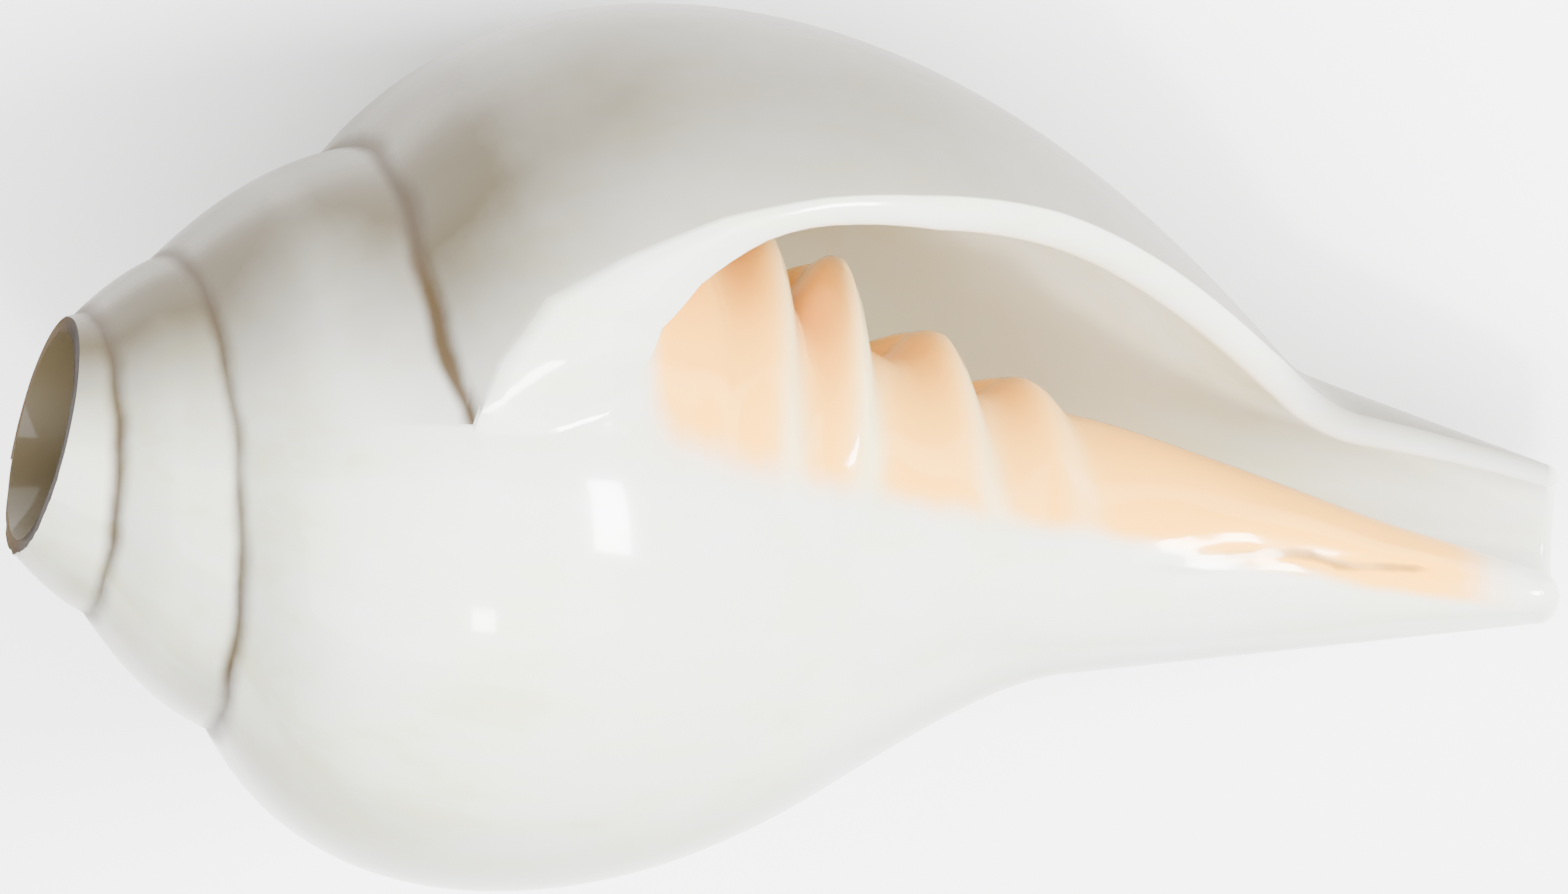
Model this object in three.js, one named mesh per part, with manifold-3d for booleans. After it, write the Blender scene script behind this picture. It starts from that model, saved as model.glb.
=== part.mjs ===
// A conch shell of the sacred chank kind, as blown like a horn: one right-handed spiral shell
// with its apex sawn off for the mouth, a wide body whorl, an open canal and folds on its pillar.
// Millimetres, +Z up. The shell lies on its back with its opening upwards, on the floor z = 0.
import * as THREE from "three";
import Module from "manifold-3d";

// Driving dimensions. "Along" is measured down the axis from the sawn end to the canal tip.
// "Turn" counts whorls back from the lip towards the apex. A quarter turn is the shell's left
// side, seen with the opening towards you and the canal to the right: 0 faces you, 0.25 is up.
const LENGTH = 150;
const LIP_TURN = 0.02;
const CHAMBER_TURNS = 2.3;
const SPIRE_TURNS = 3.5;
const CANAL_OPEN_TURNS = 0.5;
const APEX_ALONG = -7;
// By how much a whorl grows in one turn, along the axis and across it.
const GROWTH = { along: 2.0, across: 1.56 };

// The mesh: rows go round the axis, columns run down it.
const ROWS_PER_TURN = 30;
const SHOULDER_COLUMNS = [0, 0.04, 0.13, 0.3, 0.52, 0.76, 1];
const APPROACH_COLUMNS = [0.4, 0.75];
const TAIL_COLUMNS = [0.2, 0.4, 0.6, 0.8, 1];

// The suture, where each whorl meets the one before, and the whorl's own measures, by turn.
const HALF_TURNS = [-1.25, -0.75, -0.25, 0.25, 0.75, 1.25, 1.75, 2.25, 2.75, 3.25, 3.75];
const SUTURE_ALONG = [92, 63.2, 42.8, 28.1, 18.8, 10.7, 6.0, 3.3, -2.0, -5.5, -7.5];
const SUTURE_RADIUS = [50, 46.2, 39.2, 30.5, 25.6, 19.0, 15.4, 13.0, 9.6, 7.0, 5.2];
const PERIPHERY = { turn: 0.25, along: 60, halfTurnRatio: 1.3 };
const PERIPHERY_RADIUS = {
  turns: [-0.25, 0, 0.25, 0.5, 0.75, 1.0],
  radii: [48.2, 47.4, 46.3, 43.1, 39.2, 35.2],
};
const FLANK_CURVE = {
  turns: [-0.25, 0.25, 0.75, 1.25, 1.75, 2.25, 2.75, 3.75],
  curves: [0.0088, 0.0088, 0.0101, 0.009, 0.0141, 0.0225, 0.036, 0.09],
};

// How the shoulder's rise is shared between a round and a hollow form, by turn.
const SHOULDER = { roundShare: 0.7, from: 0.75, full: 1.25, roundPower: 2, hollowPower: 5 };

// The canal: a cone about a line that leaves the axis, and the pillar's height beside it.
const CANAL = {
  along: 124.7,
  radius: 12.9,
  taper: 0.225,
  lift: 2.0,
  liftFall: 0.055,
  from: 50,
  full: 85,
};
// How widely the canal's cone and the pillar are blended into the whorl.
const BLEND = { canalAbove: 4, canalBelow: 9, pillar: 4 };
const PILLAR_ALONG = [-20, 20, 40, 50, 60, 72, 80, 89.5, 98, 108.5, 123.5, 137.6, 150];
const PILLAR_HEIGHT = [80, 60, 40, 31, 24, 17.2, 13.2, 11, 10.1, 7.6, 3.3, 0, -3.8];
const PILLAR_TURN = 1.25;
const CORE_RADIUS = { inside: 4, tip: 1.2 };
const CENTRE_DROP = { from: 95, depth: 5.3, power: 1.4 };
const SLENDER_FROM = 100;

// The canal's end is cut aslant, so its floor reaches as far as its sides do.
const TIP_SLANT = { share: 0.25, from: 122 };

// The folds on the pillar: where each crest runs, how high it stands and how wide it is.
const FOLDS = [
  { front: 66, top: 68, height: 6, rise: 7, fall: 3 },
  { front: 74.5, top: 75, height: 7, rise: 5, fall: 3 },
  { front: 88.3, top: 85.3, height: 5, rise: 6, fall: 3.2 },
  { front: 98.5, top: 94.5, height: 2.6, rise: 5, fall: 4 },
];
const FOLD_COLUMN = 0.45;

// The wall, which takes no more than its largest share of the room that it has.
const WALL = {
  turns: [0, 0.2, 0.75, 1.25, 1.75, 2.75],
  thickness: [3.0, 4.2, 4.0, 3.2, 2.4, 2.0],
  atTip: 0.5,
  largestShare: 0.62,
  steepest: 1.3,
};
const CHAMBER_END = { rounding: 0.12, growth: 1.3 };

// The lip's edge leans round the axis, and a pad joins it to the whorl before it.
const LIP_LEAN = {
  along: [34, 37.5, 44, 52, 60, 78, 90, 103, 115, 121, 128, 142, 150],
  degrees: [0, 16, 21, 25.5, 28.8, 33.4, 37.6, 40.5, 43.3, 51.5, 57.2, 70.5, 80],
  fadeTurns: 0.45,
};
const LIP_PAD = {
  width: 19.2,
  reach: 1.05,
  shares: [0, 0.38, 0.77, 0.95, 1],
  degrees: [0, 1, 7, 25, 44],
  fadeTurns: 0.25,
  leanFadeTurns: 0.3,
  seam: 0.15,
  facing: 4.2,
  leaning: 6,
  fillet: 2,
  bulge: 0.18,
  bulgeColumns: 3,
  bendColumns: 5.2,
};
const LIP_ROUNDING = 1.5;
const TIP_ROUNDING = 2;

// The sawn end: a slightly slanting plane and a bore that opens the spiral chamber.
const CUT = { along: 0.07, slant: 0.155 };
const BORE = { radius: 9, taper: 0.1, depth: 24, lead: 5, lift: 1.4, sides: 40 };

// How the shell lies at rest: rolled about its axis and with the canal's end a little lower.
// It stands on a small flat, so that it lies still.
const REST = { roll: -29.67, pitch: 14.54, flat: 0.48 };

const TIP_START = LENGTH - TIP_ROUNDING;

const clamp = (x, low, high) => Math.min(high, Math.max(low, x));
const clamp01 = (x) => Math.min(1, Math.max(0, x));
const smoothstep = (low, high, x) => {
  const t = clamp01((x - low) / (high - low));
  return t * t * (3 - 2 * t);
};
const lerp = (a, b, t) => a + (b - a) * t;
const softMax = (a, b, width) =>
  Math.max(a, b) + Math.max(width - Math.abs(a - b), 0) ** 2 / (4 * width);
const softMin = (a, b, width) => -softMax(-a, -b, width);

// A smooth curve through points that never overshoots them, straight beyond its ends.
function curve(xs, ys) {
  const slope = xs.slice(1).map((x, i) => (ys[i + 1] - ys[i]) / (x - xs[i]));
  const tangent = xs.map((_, i) => {
    if (i === 0) return slope[0];
    if (i === xs.length - 1) return slope[slope.length - 1];
    const [before, after] = [slope[i - 1], slope[i]];
    return before * after <= 0 ? 0 : (2 * before * after) / (before + after);
  });
  const last = xs.length - 1;
  return (x) => {
    if (x <= xs[0]) return ys[0] + tangent[0] * (x - xs[0]);
    if (x >= xs[last]) return ys[last] + tangent[last] * (x - xs[last]);
    const i = xs.findIndex((right) => right > x) - 1;
    const width = xs[i + 1] - xs[i];
    const t = (x - xs[i]) / width;
    return (
      ys[i] * (1 + 2 * t) * (1 - t) ** 2 +
      tangent[i] * width * t * (1 - t) ** 2 +
      ys[i + 1] * t * t * (3 - 2 * t) +
      tangent[i + 1] * width * t * t * (t - 1)
    );
  };
}

const sutureAlong = curve(HALF_TURNS, SUTURE_ALONG);
const sutureRadius = curve(HALF_TURNS, SUTURE_RADIUS);
const freePeriphery = curve(PERIPHERY_RADIUS.turns, PERIPHERY_RADIUS.radii);
const flankCurve = curve(FLANK_CURVE.turns, FLANK_CURVE.curves);
const pillarHeight = curve(PILLAR_ALONG, PILLAR_HEIGHT);
const wallAt = curve(WALL.turns, WALL.thickness);
const lipLean = curve(LIP_LEAN.along, LIP_LEAN.degrees);

const shrunkAlong = (along, turns) => APEX_ALONG + (along - APEX_ALONG) * GROWTH.along ** -turns;
function peripheryAlong(turn) {
  const halfTurns = -2 * (turn - PERIPHERY.turn);
  return APEX_ALONG + (PERIPHERY.along - APEX_ALONG) * PERIPHERY.halfTurnRatio ** halfTurns;
}

// How far the centre of a cross-section lies below the axis: it drops away along the canal.
function centreDrop(along) {
  const share = clamp01((along - CENTRE_DROP.from) / (LENGTH - CENTRE_DROP.from));
  return CENTRE_DROP.depth * share ** CENTRE_DROP.power;
}

// The part of the shoulder's rise that is still to come, at a share of the way to the periphery.
function shoulderLeft(share, turn) {
  const round = lerp(SHOULDER.roundShare, 1, smoothstep(SHOULDER.from, SHOULDER.full, turn));
  const left = Math.max(1 - share, 0);
  return round * left ** SHOULDER.roundPower + (1 - round) * left ** SHOULDER.hollowPower;
}

// A whorl's largest radius. From the second turn back it is set so that the next suture lies on it.
function peripheryRadius(turn) {
  const start = sutureAlong(turn);
  const nextSuture = (sutureAlong(turn - 1) - start) / (peripheryAlong(turn) - start);
  const left = shoulderLeft(nextSuture, turn);
  const fitted = (sutureRadius(turn - 1) - sutureRadius(turn) * left) / (1 - left);
  if (turn <= 0.75) return freePeriphery(turn);
  return lerp(freePeriphery(turn), fitted, smoothstep(0.75, 1, turn));
}

// The whorl's own surface, as its distance from the centre line.
function bodyRadius(along, turn) {
  const widest = peripheryRadius(turn);
  const widestAlong = peripheryAlong(turn);
  const start = sutureAlong(turn);
  if (along >= widestAlong) return widest - flankCurve(turn) * (along - widestAlong) ** 2;
  const share = (along - start) / (widestAlong - start);
  return widest - (widest - sutureRadius(turn)) * shoulderLeft(share, turn);
}

// The canal's cone, which only counts from the lower part of the body down.
function canalRadius(along, turn) {
  const azimuth = 2 * Math.PI * turn;
  const beyond = along - CANAL.along;
  const lift = CANAL.lift - CANAL.liftFall * beyond + centreDrop(along);
  const cone = CANAL.radius - CANAL.taper * beyond;
  const across = Math.sqrt(Math.max(cone ** 2 - (lift * Math.cos(azimuth)) ** 2, 1));
  const matching = shrunkAlong(along, Math.min(PILLAR_TURN - turn, 0));
  return (lift * Math.sin(azimuth) + across) * smoothstep(CANAL.from, CANAL.full, matching);
}

// The pillar, which each whorl winds round, shrinks towards the apex as the whorls do.
function pillarRadius(along, turn) {
  const back = turn - PILLAR_TURN;
  const matching = Math.min(shrunkAlong(along, -back), LENGTH);
  const height = (pillarHeight(matching) + centreDrop(matching)) * GROWTH.across ** -back;
  const slender = smoothstep(SLENDER_FROM, LENGTH, along);
  const core = lerp(CORE_RADIUS.inside, CORE_RADIUS.tip, slender) * smoothstep(PILLAR_TURN, 1.6, turn);
  return Math.hypot(height, core);
}

// The whorl without its folds.
function whorlRadius(along, turn) {
  const body = bodyRadius(along, turn) + centreDrop(along) * Math.sin(2 * Math.PI * turn);
  const waist = lerp(BLEND.canalAbove, BLEND.canalBelow, smoothstep(0.25, 0.75, turn));
  const outside = softMax(body, canalRadius(along, turn), waist);
  return softMin(outside, pillarRadius(along, turn), BLEND.pillar);
}

// A fold's crest runs nearly straight across the opening, and shrinks with the whorls beyond it.
function crestAlong(fold, turn) {
  if (turn > PILLAR_TURN) return shrunkAlong(fold.top, turn - PILLAR_TURN);
  return lerp(fold.front, fold.top, clamp01((turn - 1) / (PILLAR_TURN - 1)));
}

const foldScale = (turn) => Math.min(GROWTH.along ** (PILLAR_TURN - turn), 1);

// The folds fade out where the pillar meets the body, and again deep inside the shell.
function foldRise(along, turn) {
  const strength = smoothstep(0.98, 1.2, turn) * (1 - smoothstep(2, 2.6, turn));
  let rise = 0;
  for (const fold of FOLDS) {
    const scale = foldScale(turn);
    const offset = (along - crestAlong(fold, turn)) / scale;
    const reach = offset < 0 ? fold.rise : fold.fall;
    const share = clamp01(1 - Math.abs(offset) / reach);
    rise = Math.max(rise, fold.height * scale * share * share * (3 - 2 * share));
  }
  return rise * strength;
}

const outerRadius = (along, turn) => whorlRadius(along, turn) + foldRise(along, turn);

// Where the chamber's far end lies at a turn. It runs past the tip while the canal is open.
const chamberEnd = (turn) =>
  shrunkAlong(TIP_START, CHAMBER_END.growth * (turn - LIP_TURN - CANAL_OPEN_TURNS));

// The wall's thickness, measured across the axis, so it is more where the wall is steep.
function wallThickness(along, turn) {
  const slope = whorlRadius(along + 0.5, turn) - whorlRadius(along - 0.5, turn);
  const thin = lerp(1, WALL.atTip, smoothstep(SLENDER_FROM, LENGTH, along));
  return wallAt(turn) * thin * Math.min(Math.hypot(1, slope), WALL.steepest);
}

// The inner face of the wall at a turn. The chamber's section closes in a round at its far end.
function innerRadius(along, turn) {
  const outside = whorlRadius(along, turn);
  const inside = outerRadius(along, turn + 1);
  const most = WALL.largestShare * (outside - inside);
  const room = outside - inside - softMin(wallThickness(along, turn), most, 1);
  const end = chamberEnd(turn);
  const closing = clamp01(1 - (end - along) / (CHAMBER_END.rounding * (end - APEX_ALONG)));
  return inside + room * Math.sqrt(1 - closing ** 2);
}

// Where the wall leaves the whorl before it, seen from inside.
const padLeft = (turn) => 1 - smoothstep(0, LIP_PAD.fadeTurns, turn - LIP_TURN);
const padWidth = (turn) => lerp(LIP_PAD.seam * sutureRadius(turn), LIP_PAD.width, padLeft(turn));
const cornerAlong = (turn) => sutureAlong(turn) + padWidth(turn);
const chamberStop = (turn) => Math.min(chamberEnd(turn), TIP_START);
function padRise(turn, column) {
  return smoothstep(0, lerp(LIP_PAD.fillet, LIP_PAD.facing, padLeft(turn)), column);
}

const SEAM = SHOULDER_COLUMNS.length - 1;
const SEAM_COLUMNS = LIP_PAD.shares.length - 1;
const CORNER = SEAM + SEAM_COLUMNS;
const FOLD_START = CORNER + APPROACH_COLUMNS.length;
const TIP = FOLD_START + 3 * FOLDS.length + TAIL_COLUMNS.length;
const FIRST_INSIDE = LIP_TURN + 1;

// The lip leans round the axis, and so do the rows behind it and those of the pad's foot.
const lipLeanLeft = (turns) => 1 - smoothstep(0, LIP_LEAN.fadeTurns, Math.abs(turns));
const footLeanLeft = (turns) => 1 - smoothstep(0, LIP_PAD.leanFadeTurns, Math.abs(turns));
function footLean(column) {
  const foot = LIP_PAD.degrees[clamp(column - SEAM, 0, SEAM_COLUMNS)] / 360;
  return foot * (1 - smoothstep(CORNER, TIP, column));
}

// The stations along the axis of one row's columns, from its suture to the tip, on the outer face.
function foldStations(turn) {
  const stations = [];
  FOLDS.forEach((fold, index) => {
    const lean = footLean(FOLD_START + 3 * index + 2) * footLeanLeft(turn - FIRST_INSIDE);
    const crest = crestAlong(fold, turn + lean);
    const scale = foldScale(turn);
    stations.push(crest - FOLD_COLUMN * fold.rise * scale, crest, crest + fold.fall * scale);
  });
  return stations;
}

function insideStations(turn) {
  const folds = foldStations(turn);
  const corner = cornerAlong(turn - 1);
  const approach = APPROACH_COLUMNS.map((share) => lerp(corner, folds[0], share));
  const tail = TAIL_COLUMNS.map((share) => lerp(folds.at(-1), chamberStop(turn - 1), share));
  return [corner, ...approach, ...folds, ...tail];
}

function sharesOf(stations) {
  const reach = stations.at(-1) - stations[0];
  return stations.map((station) => (station - stations[0]) / reach);
}
const OUTSIDE_SHARES = sharesOf(insideStations(FIRST_INSIDE));

function outerStations(turn) {
  const start = sutureAlong(turn);
  const next = sutureAlong(turn - 1);
  const shoulder = SHOULDER_COLUMNS.map((share) => lerp(start, next, share));
  const corner = next + padWidth(Math.max(turn - 1, LIP_TURN));
  const seam = LIP_PAD.shares.slice(1, -1).map((share) => lerp(next, corner, share));
  const rest =
    turn < FIRST_INSIDE
      ? OUTSIDE_SHARES.map((share) => lerp(corner, TIP_START, share))
      : insideStations(turn);
  return [...shoulder, ...seam, ...rest];
}

// On the inner face the columns start at the corner, and at the lip they face those outside.
const LIP_STATIONS = outerStations(LIP_TURN);
const INNER_SHARES = sharesOf(
  LIP_STATIONS.map((station) => {
    const away = (station - LIP_STATIONS[0]) / (LIP_PAD.reach * LIP_PAD.width);
    return station + LIP_PAD.width * Math.exp(-away);
  }),
);
const innerStations = (turn) =>
  INNER_SHARES.map((share) => lerp(cornerAlong(turn), chamberStop(turn), share));

const LIP_LEANS = LIP_STATIONS.map((station) => lipLean(station) / 360);
function outerTurn(turn, column) {
  const atLip = LIP_LEANS[column] * lipLeanLeft(turn - LIP_TURN);
  return turn + atLip + footLean(column) * footLeanLeft(turn - FIRST_INSIDE);
}
function innerTurn(turn, column) {
  const atLip = LIP_LEANS[column] * lipLeanLeft(turn - LIP_TURN);
  const atFoot = footLean(CORNER) * footLeanLeft(turn - LIP_TURN);
  return turn + lerp(atFoot, atLip, smoothstep(0, LIP_PAD.leaning, column));
}

// A point in the shell's own frame: along the axis, up and towards you.
function place(along, turn, radius) {
  const azimuth = 2 * Math.PI * turn;
  const up = radius * Math.sin(azimuth) - centreDrop(along);
  const front = radius * Math.cos(azimuth);
  const slanted = TIP_SLANT.share * smoothstep(TIP_SLANT.from, LENGTH, along);
  return new THREE.Vector3(along - slanted * front, up, front);
}

const rowTurn = (row) => LIP_TURN + row / ROWS_PER_TURN;
const OPEN_ROWS = Math.round(CANAL_OPEN_TURNS * ROWS_PER_TURN);
const CHAMBER_ROWS = Math.round(CHAMBER_TURNS * ROWS_PER_TURN);
const LAST_ROW = Math.round(SPIRE_TURNS * ROWS_PER_TURN);

// The whole surface as one set of shared vertices.
const positions = [];
const triangles = [];
function vertex(point) {
  positions.push(point.x, point.y, point.z);
  return positions.length / 3 - 1;
}
const pointOf = (index) => new THREE.Vector3().fromArray(positions, 3 * index);
function triangle(a, b, c) {
  if (a !== b && b !== c && c !== a) triangles.push(a, b, c);
}
// A four-cornered face, split along its shorter diagonal.
function quad(a, b, c, d) {
  const across = pointOf(a).distanceTo(pointOf(c)) <= pointOf(b).distanceTo(pointOf(d));
  triangle(a, b, across ? c : d);
  triangle(across ? a : b, c, d);
}
// A band of faces between two lines of vertices, which may differ in number.
function band(left, right) {
  let [i, k] = [0, 0];
  while (i < left.length - 1 || k < right.length - 1) {
    const leftShare = (i + 1) / (left.length - 1);
    const rightShare = (k + 1) / (right.length - 1);
    if (k === right.length - 1 || (i < left.length - 1 && leftShare <= rightShare)) {
      triangle(left[i], right[k], left[i + 1]);
      i++;
    } else {
      triangle(left[i], right[k], right[k + 1]);
      k++;
    }
  }
}

// Rows run from the apex to the lip, so that each suture takes the vertices of the row a turn back.
const outer = [];
function makeOuterRows() {
  for (let row = LAST_ROW; row >= 0; row--) {
    const turn = rowTurn(row);
    const stations = outerStations(turn);
    const line = [];
    const make = (column) => {
      const leaned = outerTurn(turn, column);
      line[column] = vertex(place(stations[column], leaned, outerRadius(stations[column], leaned)));
    };
    const before = outer[row + ROWS_PER_TURN];
    if (before) line[0] = before[SEAM];
    else make(0);
    for (let column = 1; column <= SEAM; column++) make(column);
    const firstFree = row <= ROWS_PER_TURN ? SEAM + 1 : CORNER;
    const lastFree = row <= CHAMBER_ROWS + ROWS_PER_TURN ? TIP : SEAM;
    for (let column = firstFree; column <= lastFree; column++) make(column);
    outer[row] = line;
  }
}

const inner = [];
function makeInnerRows() {
  for (let row = 0; row <= CHAMBER_ROWS; row++) {
    const turn = rowTurn(row);
    const stations = innerStations(turn);
    const pillar = outer[row + ROWS_PER_TURN];
    const line = [pillar[CORNER]];
    for (let column = 1; column <= TIP; column++) {
      const [along, leaned] = [stations[column], innerTurn(turn, column)];
      const floor = outerRadius(along, leaned + 1);
      const radius = lerp(floor, innerRadius(along, leaned), padRise(turn, column));
      line[column] = vertex(place(along, leaned, radius));
    }
    if (row >= OPEN_ROWS) line[TIP] = pillar[TIP];
    inner[row] = line;
  }
}

// A rounded edge: the vertices between two ends, bulging along a direction.
function edgeLine(from, to, direction, depth, bend = [], bending = 0) {
  const [start, end] = [pointOf(from), pointOf(to)];
  const line = [from];
  for (let k = 1; k < SEAM_COLUMNS; k++) {
    const angle = (Math.PI * k) / SEAM_COLUMNS;
    const share = lerp((1 - Math.cos(angle)) / 2, k / SEAM_COLUMNS, bending);
    const bulge = direction.clone().multiplyScalar(depth * Math.sin(angle));
    if (bending > 0) bulge.addScaledVector(bend[k], bending);
    line.push(vertex(start.clone().lerp(end, share).add(bulge)));
  }
  line.push(to);
  return line;
}

// The lip's edge bulges the way the shell grows. Near the seam it takes the shape of the pad's foot.
function makeLip() {
  const foot = outer[ROWS_PER_TURN].slice(SEAM, CORNER + 1);
  const [footStart, footEnd] = [pointOf(foot[0]), pointOf(foot[SEAM_COLUMNS])];
  const footBend = foot.map((index, k) =>
    pointOf(index).sub(footStart.clone().lerp(footEnd, k / SEAM_COLUMNS)),
  );
  const lines = [foot];
  for (let column = 1; column <= TIP; column++) {
    const [from, to] = [outer[0][column], inner[0][column]];
    const growth = pointOf(from).sub(pointOf(outer[1][column]));
    growth.add(pointOf(to).sub(pointOf(inner[1][column]))).normalize();
    const edge = smoothstep(0, LIP_PAD.bendColumns, column);
    const width = pointOf(from).distanceTo(pointOf(to));
    const padDepth = LIP_PAD.bulge * width * smoothstep(0, LIP_PAD.bulgeColumns, column);
    const depth = lerp(padDepth, Math.min(width / 2, LIP_ROUNDING), edge);
    lines.push(edgeLine(from, to, growth, depth, footBend, 1 - edge));
  }
  for (let column = 0; column < TIP; column++)
    for (let k = 0; k < SEAM_COLUMNS; k++)
      quad(lines[column][k], lines[column][k + 1], lines[column + 1][k + 1], lines[column + 1][k]);
  return lines[TIP];
}

// The tip's end: a crescent from the lip round the canal, closing where the pillar's edge runs out.
function makeTip(lipLine) {
  const lastRow = OPEN_ROWS + ROWS_PER_TURN / 2;
  const outwards = new THREE.Vector3(1, 0, 0);
  let line = lipLine;
  for (let row = 1; row <= lastRow; row++) {
    const from = outer[row][TIP];
    const across = outer[ROWS_PER_TURN + 2 * OPEN_ROWS - row][TIP];
    const to = row <= OPEN_ROWS ? inner[row][TIP] : across;
    const depth = Math.min(pointOf(from).distanceTo(pointOf(to)) / 2, TIP_ROUNDING);
    const next = from === to ? line.map(() => from) : edgeLine(from, to, outwards, depth);
    for (let k = 0; k < SEAM_COLUMNS; k++) quad(line[k], line[k + 1], next[k + 1], next[k]);
    line = next;
  }
}

function makeFaces() {
  for (let row = 0; row < LAST_ROW; row++) {
    const [here, back] = [outer[row], outer[row + 1]];
    for (let column = 0; column < TIP; column++) {
      const corners = [here[column], here[column + 1], back[column + 1], back[column]];
      if (corners.every((corner) => corner !== undefined)) quad(...corners);
    }
  }
  for (let row = 0; row < CHAMBER_ROWS; row++) {
    const [here, back] = [inner[row], inner[row + 1]];
    for (let column = 0; column < TIP; column++)
      quad(here[column], back[column], back[column + 1], here[column + 1]);
  }
}

// The chamber's blind end, and the uncut point of the spire. Both are opened by the saw and bore.
function closeEnds() {
  const pillar = outer[CHAMBER_ROWS + ROWS_PER_TURN].slice(CORNER);
  band(inner[CHAMBER_ROWS], pillar);
  const apex = vertex(new THREE.Vector3(APEX_ALONG, 0, 0));
  const edge = [];
  for (let row = LAST_ROW - ROWS_PER_TURN; row <= LAST_ROW; row++) edge.push(outer[row][0]);
  edge.push(...outer[LAST_ROW].slice(1, SEAM + 1));
  for (let k = 0; k < edge.length - 1; k++) triangle(edge[k], edge[k + 1], apex);
}

makeOuterRows();
makeInnerRows();
makeFaces();
makeTip(makeLip());
closeEnds();

const wasm = await Module();
wasm.setup();
const uncut = new wasm.Manifold(
  new wasm.Mesh({
    numProp: 3,
    vertProperties: new Float32Array(positions),
    triVerts: new Uint32Array(triangles),
  }),
);

// The saw takes off the apex along a slanting plane, and the bore opens the chamber's end.
const sawnNormal = new THREE.Vector3(1, -CUT.slant, 0);
const sawnUnit = sawnNormal.clone().normalize().toArray();
const sawn = uncut.trimByPlane(sawnUnit, CUT.along / sawnNormal.length());
const bore = wasm.Manifold.cylinder(
  BORE.depth + BORE.lead,
  BORE.radius + BORE.taper * BORE.lead,
  BORE.radius - BORE.taper * BORE.depth,
  BORE.sides,
)
  .rotate([0, 90, 0])
  .translate([-BORE.lead, BORE.lift, 0]);

// The shell is laid down, stands on its flat and is moved over the origin.
const laid = sawn.subtract(bore).rotate([REST.roll, REST.pitch, 0]);
const floor = laid.boundingBox().min[2] + REST.flat;
const { min, max } = laid.boundingBox();
const resting = laid
  .trimByPlane([0, 0, 1], floor)
  .translate([-(min[0] + max[0]) / 2, -(min[1] + max[1]) / 2, -floor]);

const mesh = resting.getMesh();
const corners = new Float32Array(mesh.numVert * 3);
for (let i = 0; i < mesh.numVert; i++)
  corners.set(mesh.vertProperties.subarray(i * mesh.numProp, i * mesh.numProp + 3), 3 * i);
const geometry = new THREE.BufferGeometry();
geometry.setAttribute("position", new THREE.BufferAttribute(corners, 3));
geometry.setIndex(new THREE.BufferAttribute(mesh.triVerts, 1));
geometry.computeVertexNormals();
const porcelain = new THREE.MeshStandardMaterial({ color: "#ece9e4", roughness: 0.25, metalness: 0 });
const shell = new THREE.Mesh(geometry, porcelain);
shell.name = "shell";
const group = new THREE.Group();
group.add(shell);
export default group;
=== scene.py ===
"""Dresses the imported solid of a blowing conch: a polished white right-handed spiral shell.

The whole shell is one surface, and its whorls follow growth laws told in the shell's own frame,
in millimetres. "Along" runs down the axis from the sawn end to the canal's tip. "Turn" counts
whorls back from the lip towards the apex: 0 is the side with the mouth, 0.25 is up when the mouth
faces you with the canal to the right. The finished mesh is in metres, in the row frame.
"""
import logging
import math
from collections.abc import Sequence
from dataclasses import dataclass, field
from enum import Enum
from typing import Any

import bmesh
import bpy
import numpy as np
from mathutils import Matrix, Vector


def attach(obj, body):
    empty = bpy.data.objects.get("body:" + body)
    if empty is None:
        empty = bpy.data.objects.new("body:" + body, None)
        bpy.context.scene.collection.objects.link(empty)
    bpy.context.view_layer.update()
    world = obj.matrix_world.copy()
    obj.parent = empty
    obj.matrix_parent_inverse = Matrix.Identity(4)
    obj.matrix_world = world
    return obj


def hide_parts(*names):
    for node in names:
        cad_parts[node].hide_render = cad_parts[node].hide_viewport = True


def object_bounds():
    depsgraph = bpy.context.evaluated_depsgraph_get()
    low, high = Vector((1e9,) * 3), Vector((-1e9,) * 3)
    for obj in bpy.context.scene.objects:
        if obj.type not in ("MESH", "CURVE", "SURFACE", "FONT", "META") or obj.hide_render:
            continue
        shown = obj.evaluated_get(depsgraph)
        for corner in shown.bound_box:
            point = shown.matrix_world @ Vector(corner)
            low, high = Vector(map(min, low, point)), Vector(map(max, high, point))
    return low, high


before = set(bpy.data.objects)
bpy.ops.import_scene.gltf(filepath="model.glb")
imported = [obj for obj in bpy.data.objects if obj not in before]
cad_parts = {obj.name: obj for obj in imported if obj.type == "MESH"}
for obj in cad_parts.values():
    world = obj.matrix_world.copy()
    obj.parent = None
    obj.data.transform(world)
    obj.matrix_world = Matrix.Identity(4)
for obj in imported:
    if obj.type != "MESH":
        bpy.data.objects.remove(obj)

CAD_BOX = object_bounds()
LOG = logging.getLogger("conch")
Array = np.ndarray
Numbers = float | Array
Colour = tuple[float, ...]
MM = 0.001
FAR_FROM_SEAMS = 99.0


def lerp(start: Numbers, end: Numbers, share: Numbers) -> Numbers:
    """The value a share of the way from start to end."""
    return start + (end - start) * share


def clamp01(value: Numbers) -> Numbers:
    """The value held between 0 and 1."""
    return np.clip(value, 0.0, 1.0)


def smoothstep(low: Numbers, high: Numbers, value: Numbers) -> Numbers:
    """A smooth rise from 0 at low to 1 at high."""
    t = clamp01((np.asarray(value, float) - low) / (high - low))
    return t * t * (3 - 2 * t)


def soft_max(a: Numbers, b: Numbers, width: Numbers) -> Numbers:
    """The larger of two values, rounded over where they are closer than the width."""
    return np.maximum(a, b) + np.maximum(width - np.abs(a - b), 0) ** 2 / (4 * width)


def soft_min(a: Numbers, b: Numbers, width: Numbers) -> Numbers:
    """The smaller of two values, rounded under where they are closer than the width."""
    return -soft_max(-a, -b, width)


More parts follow.
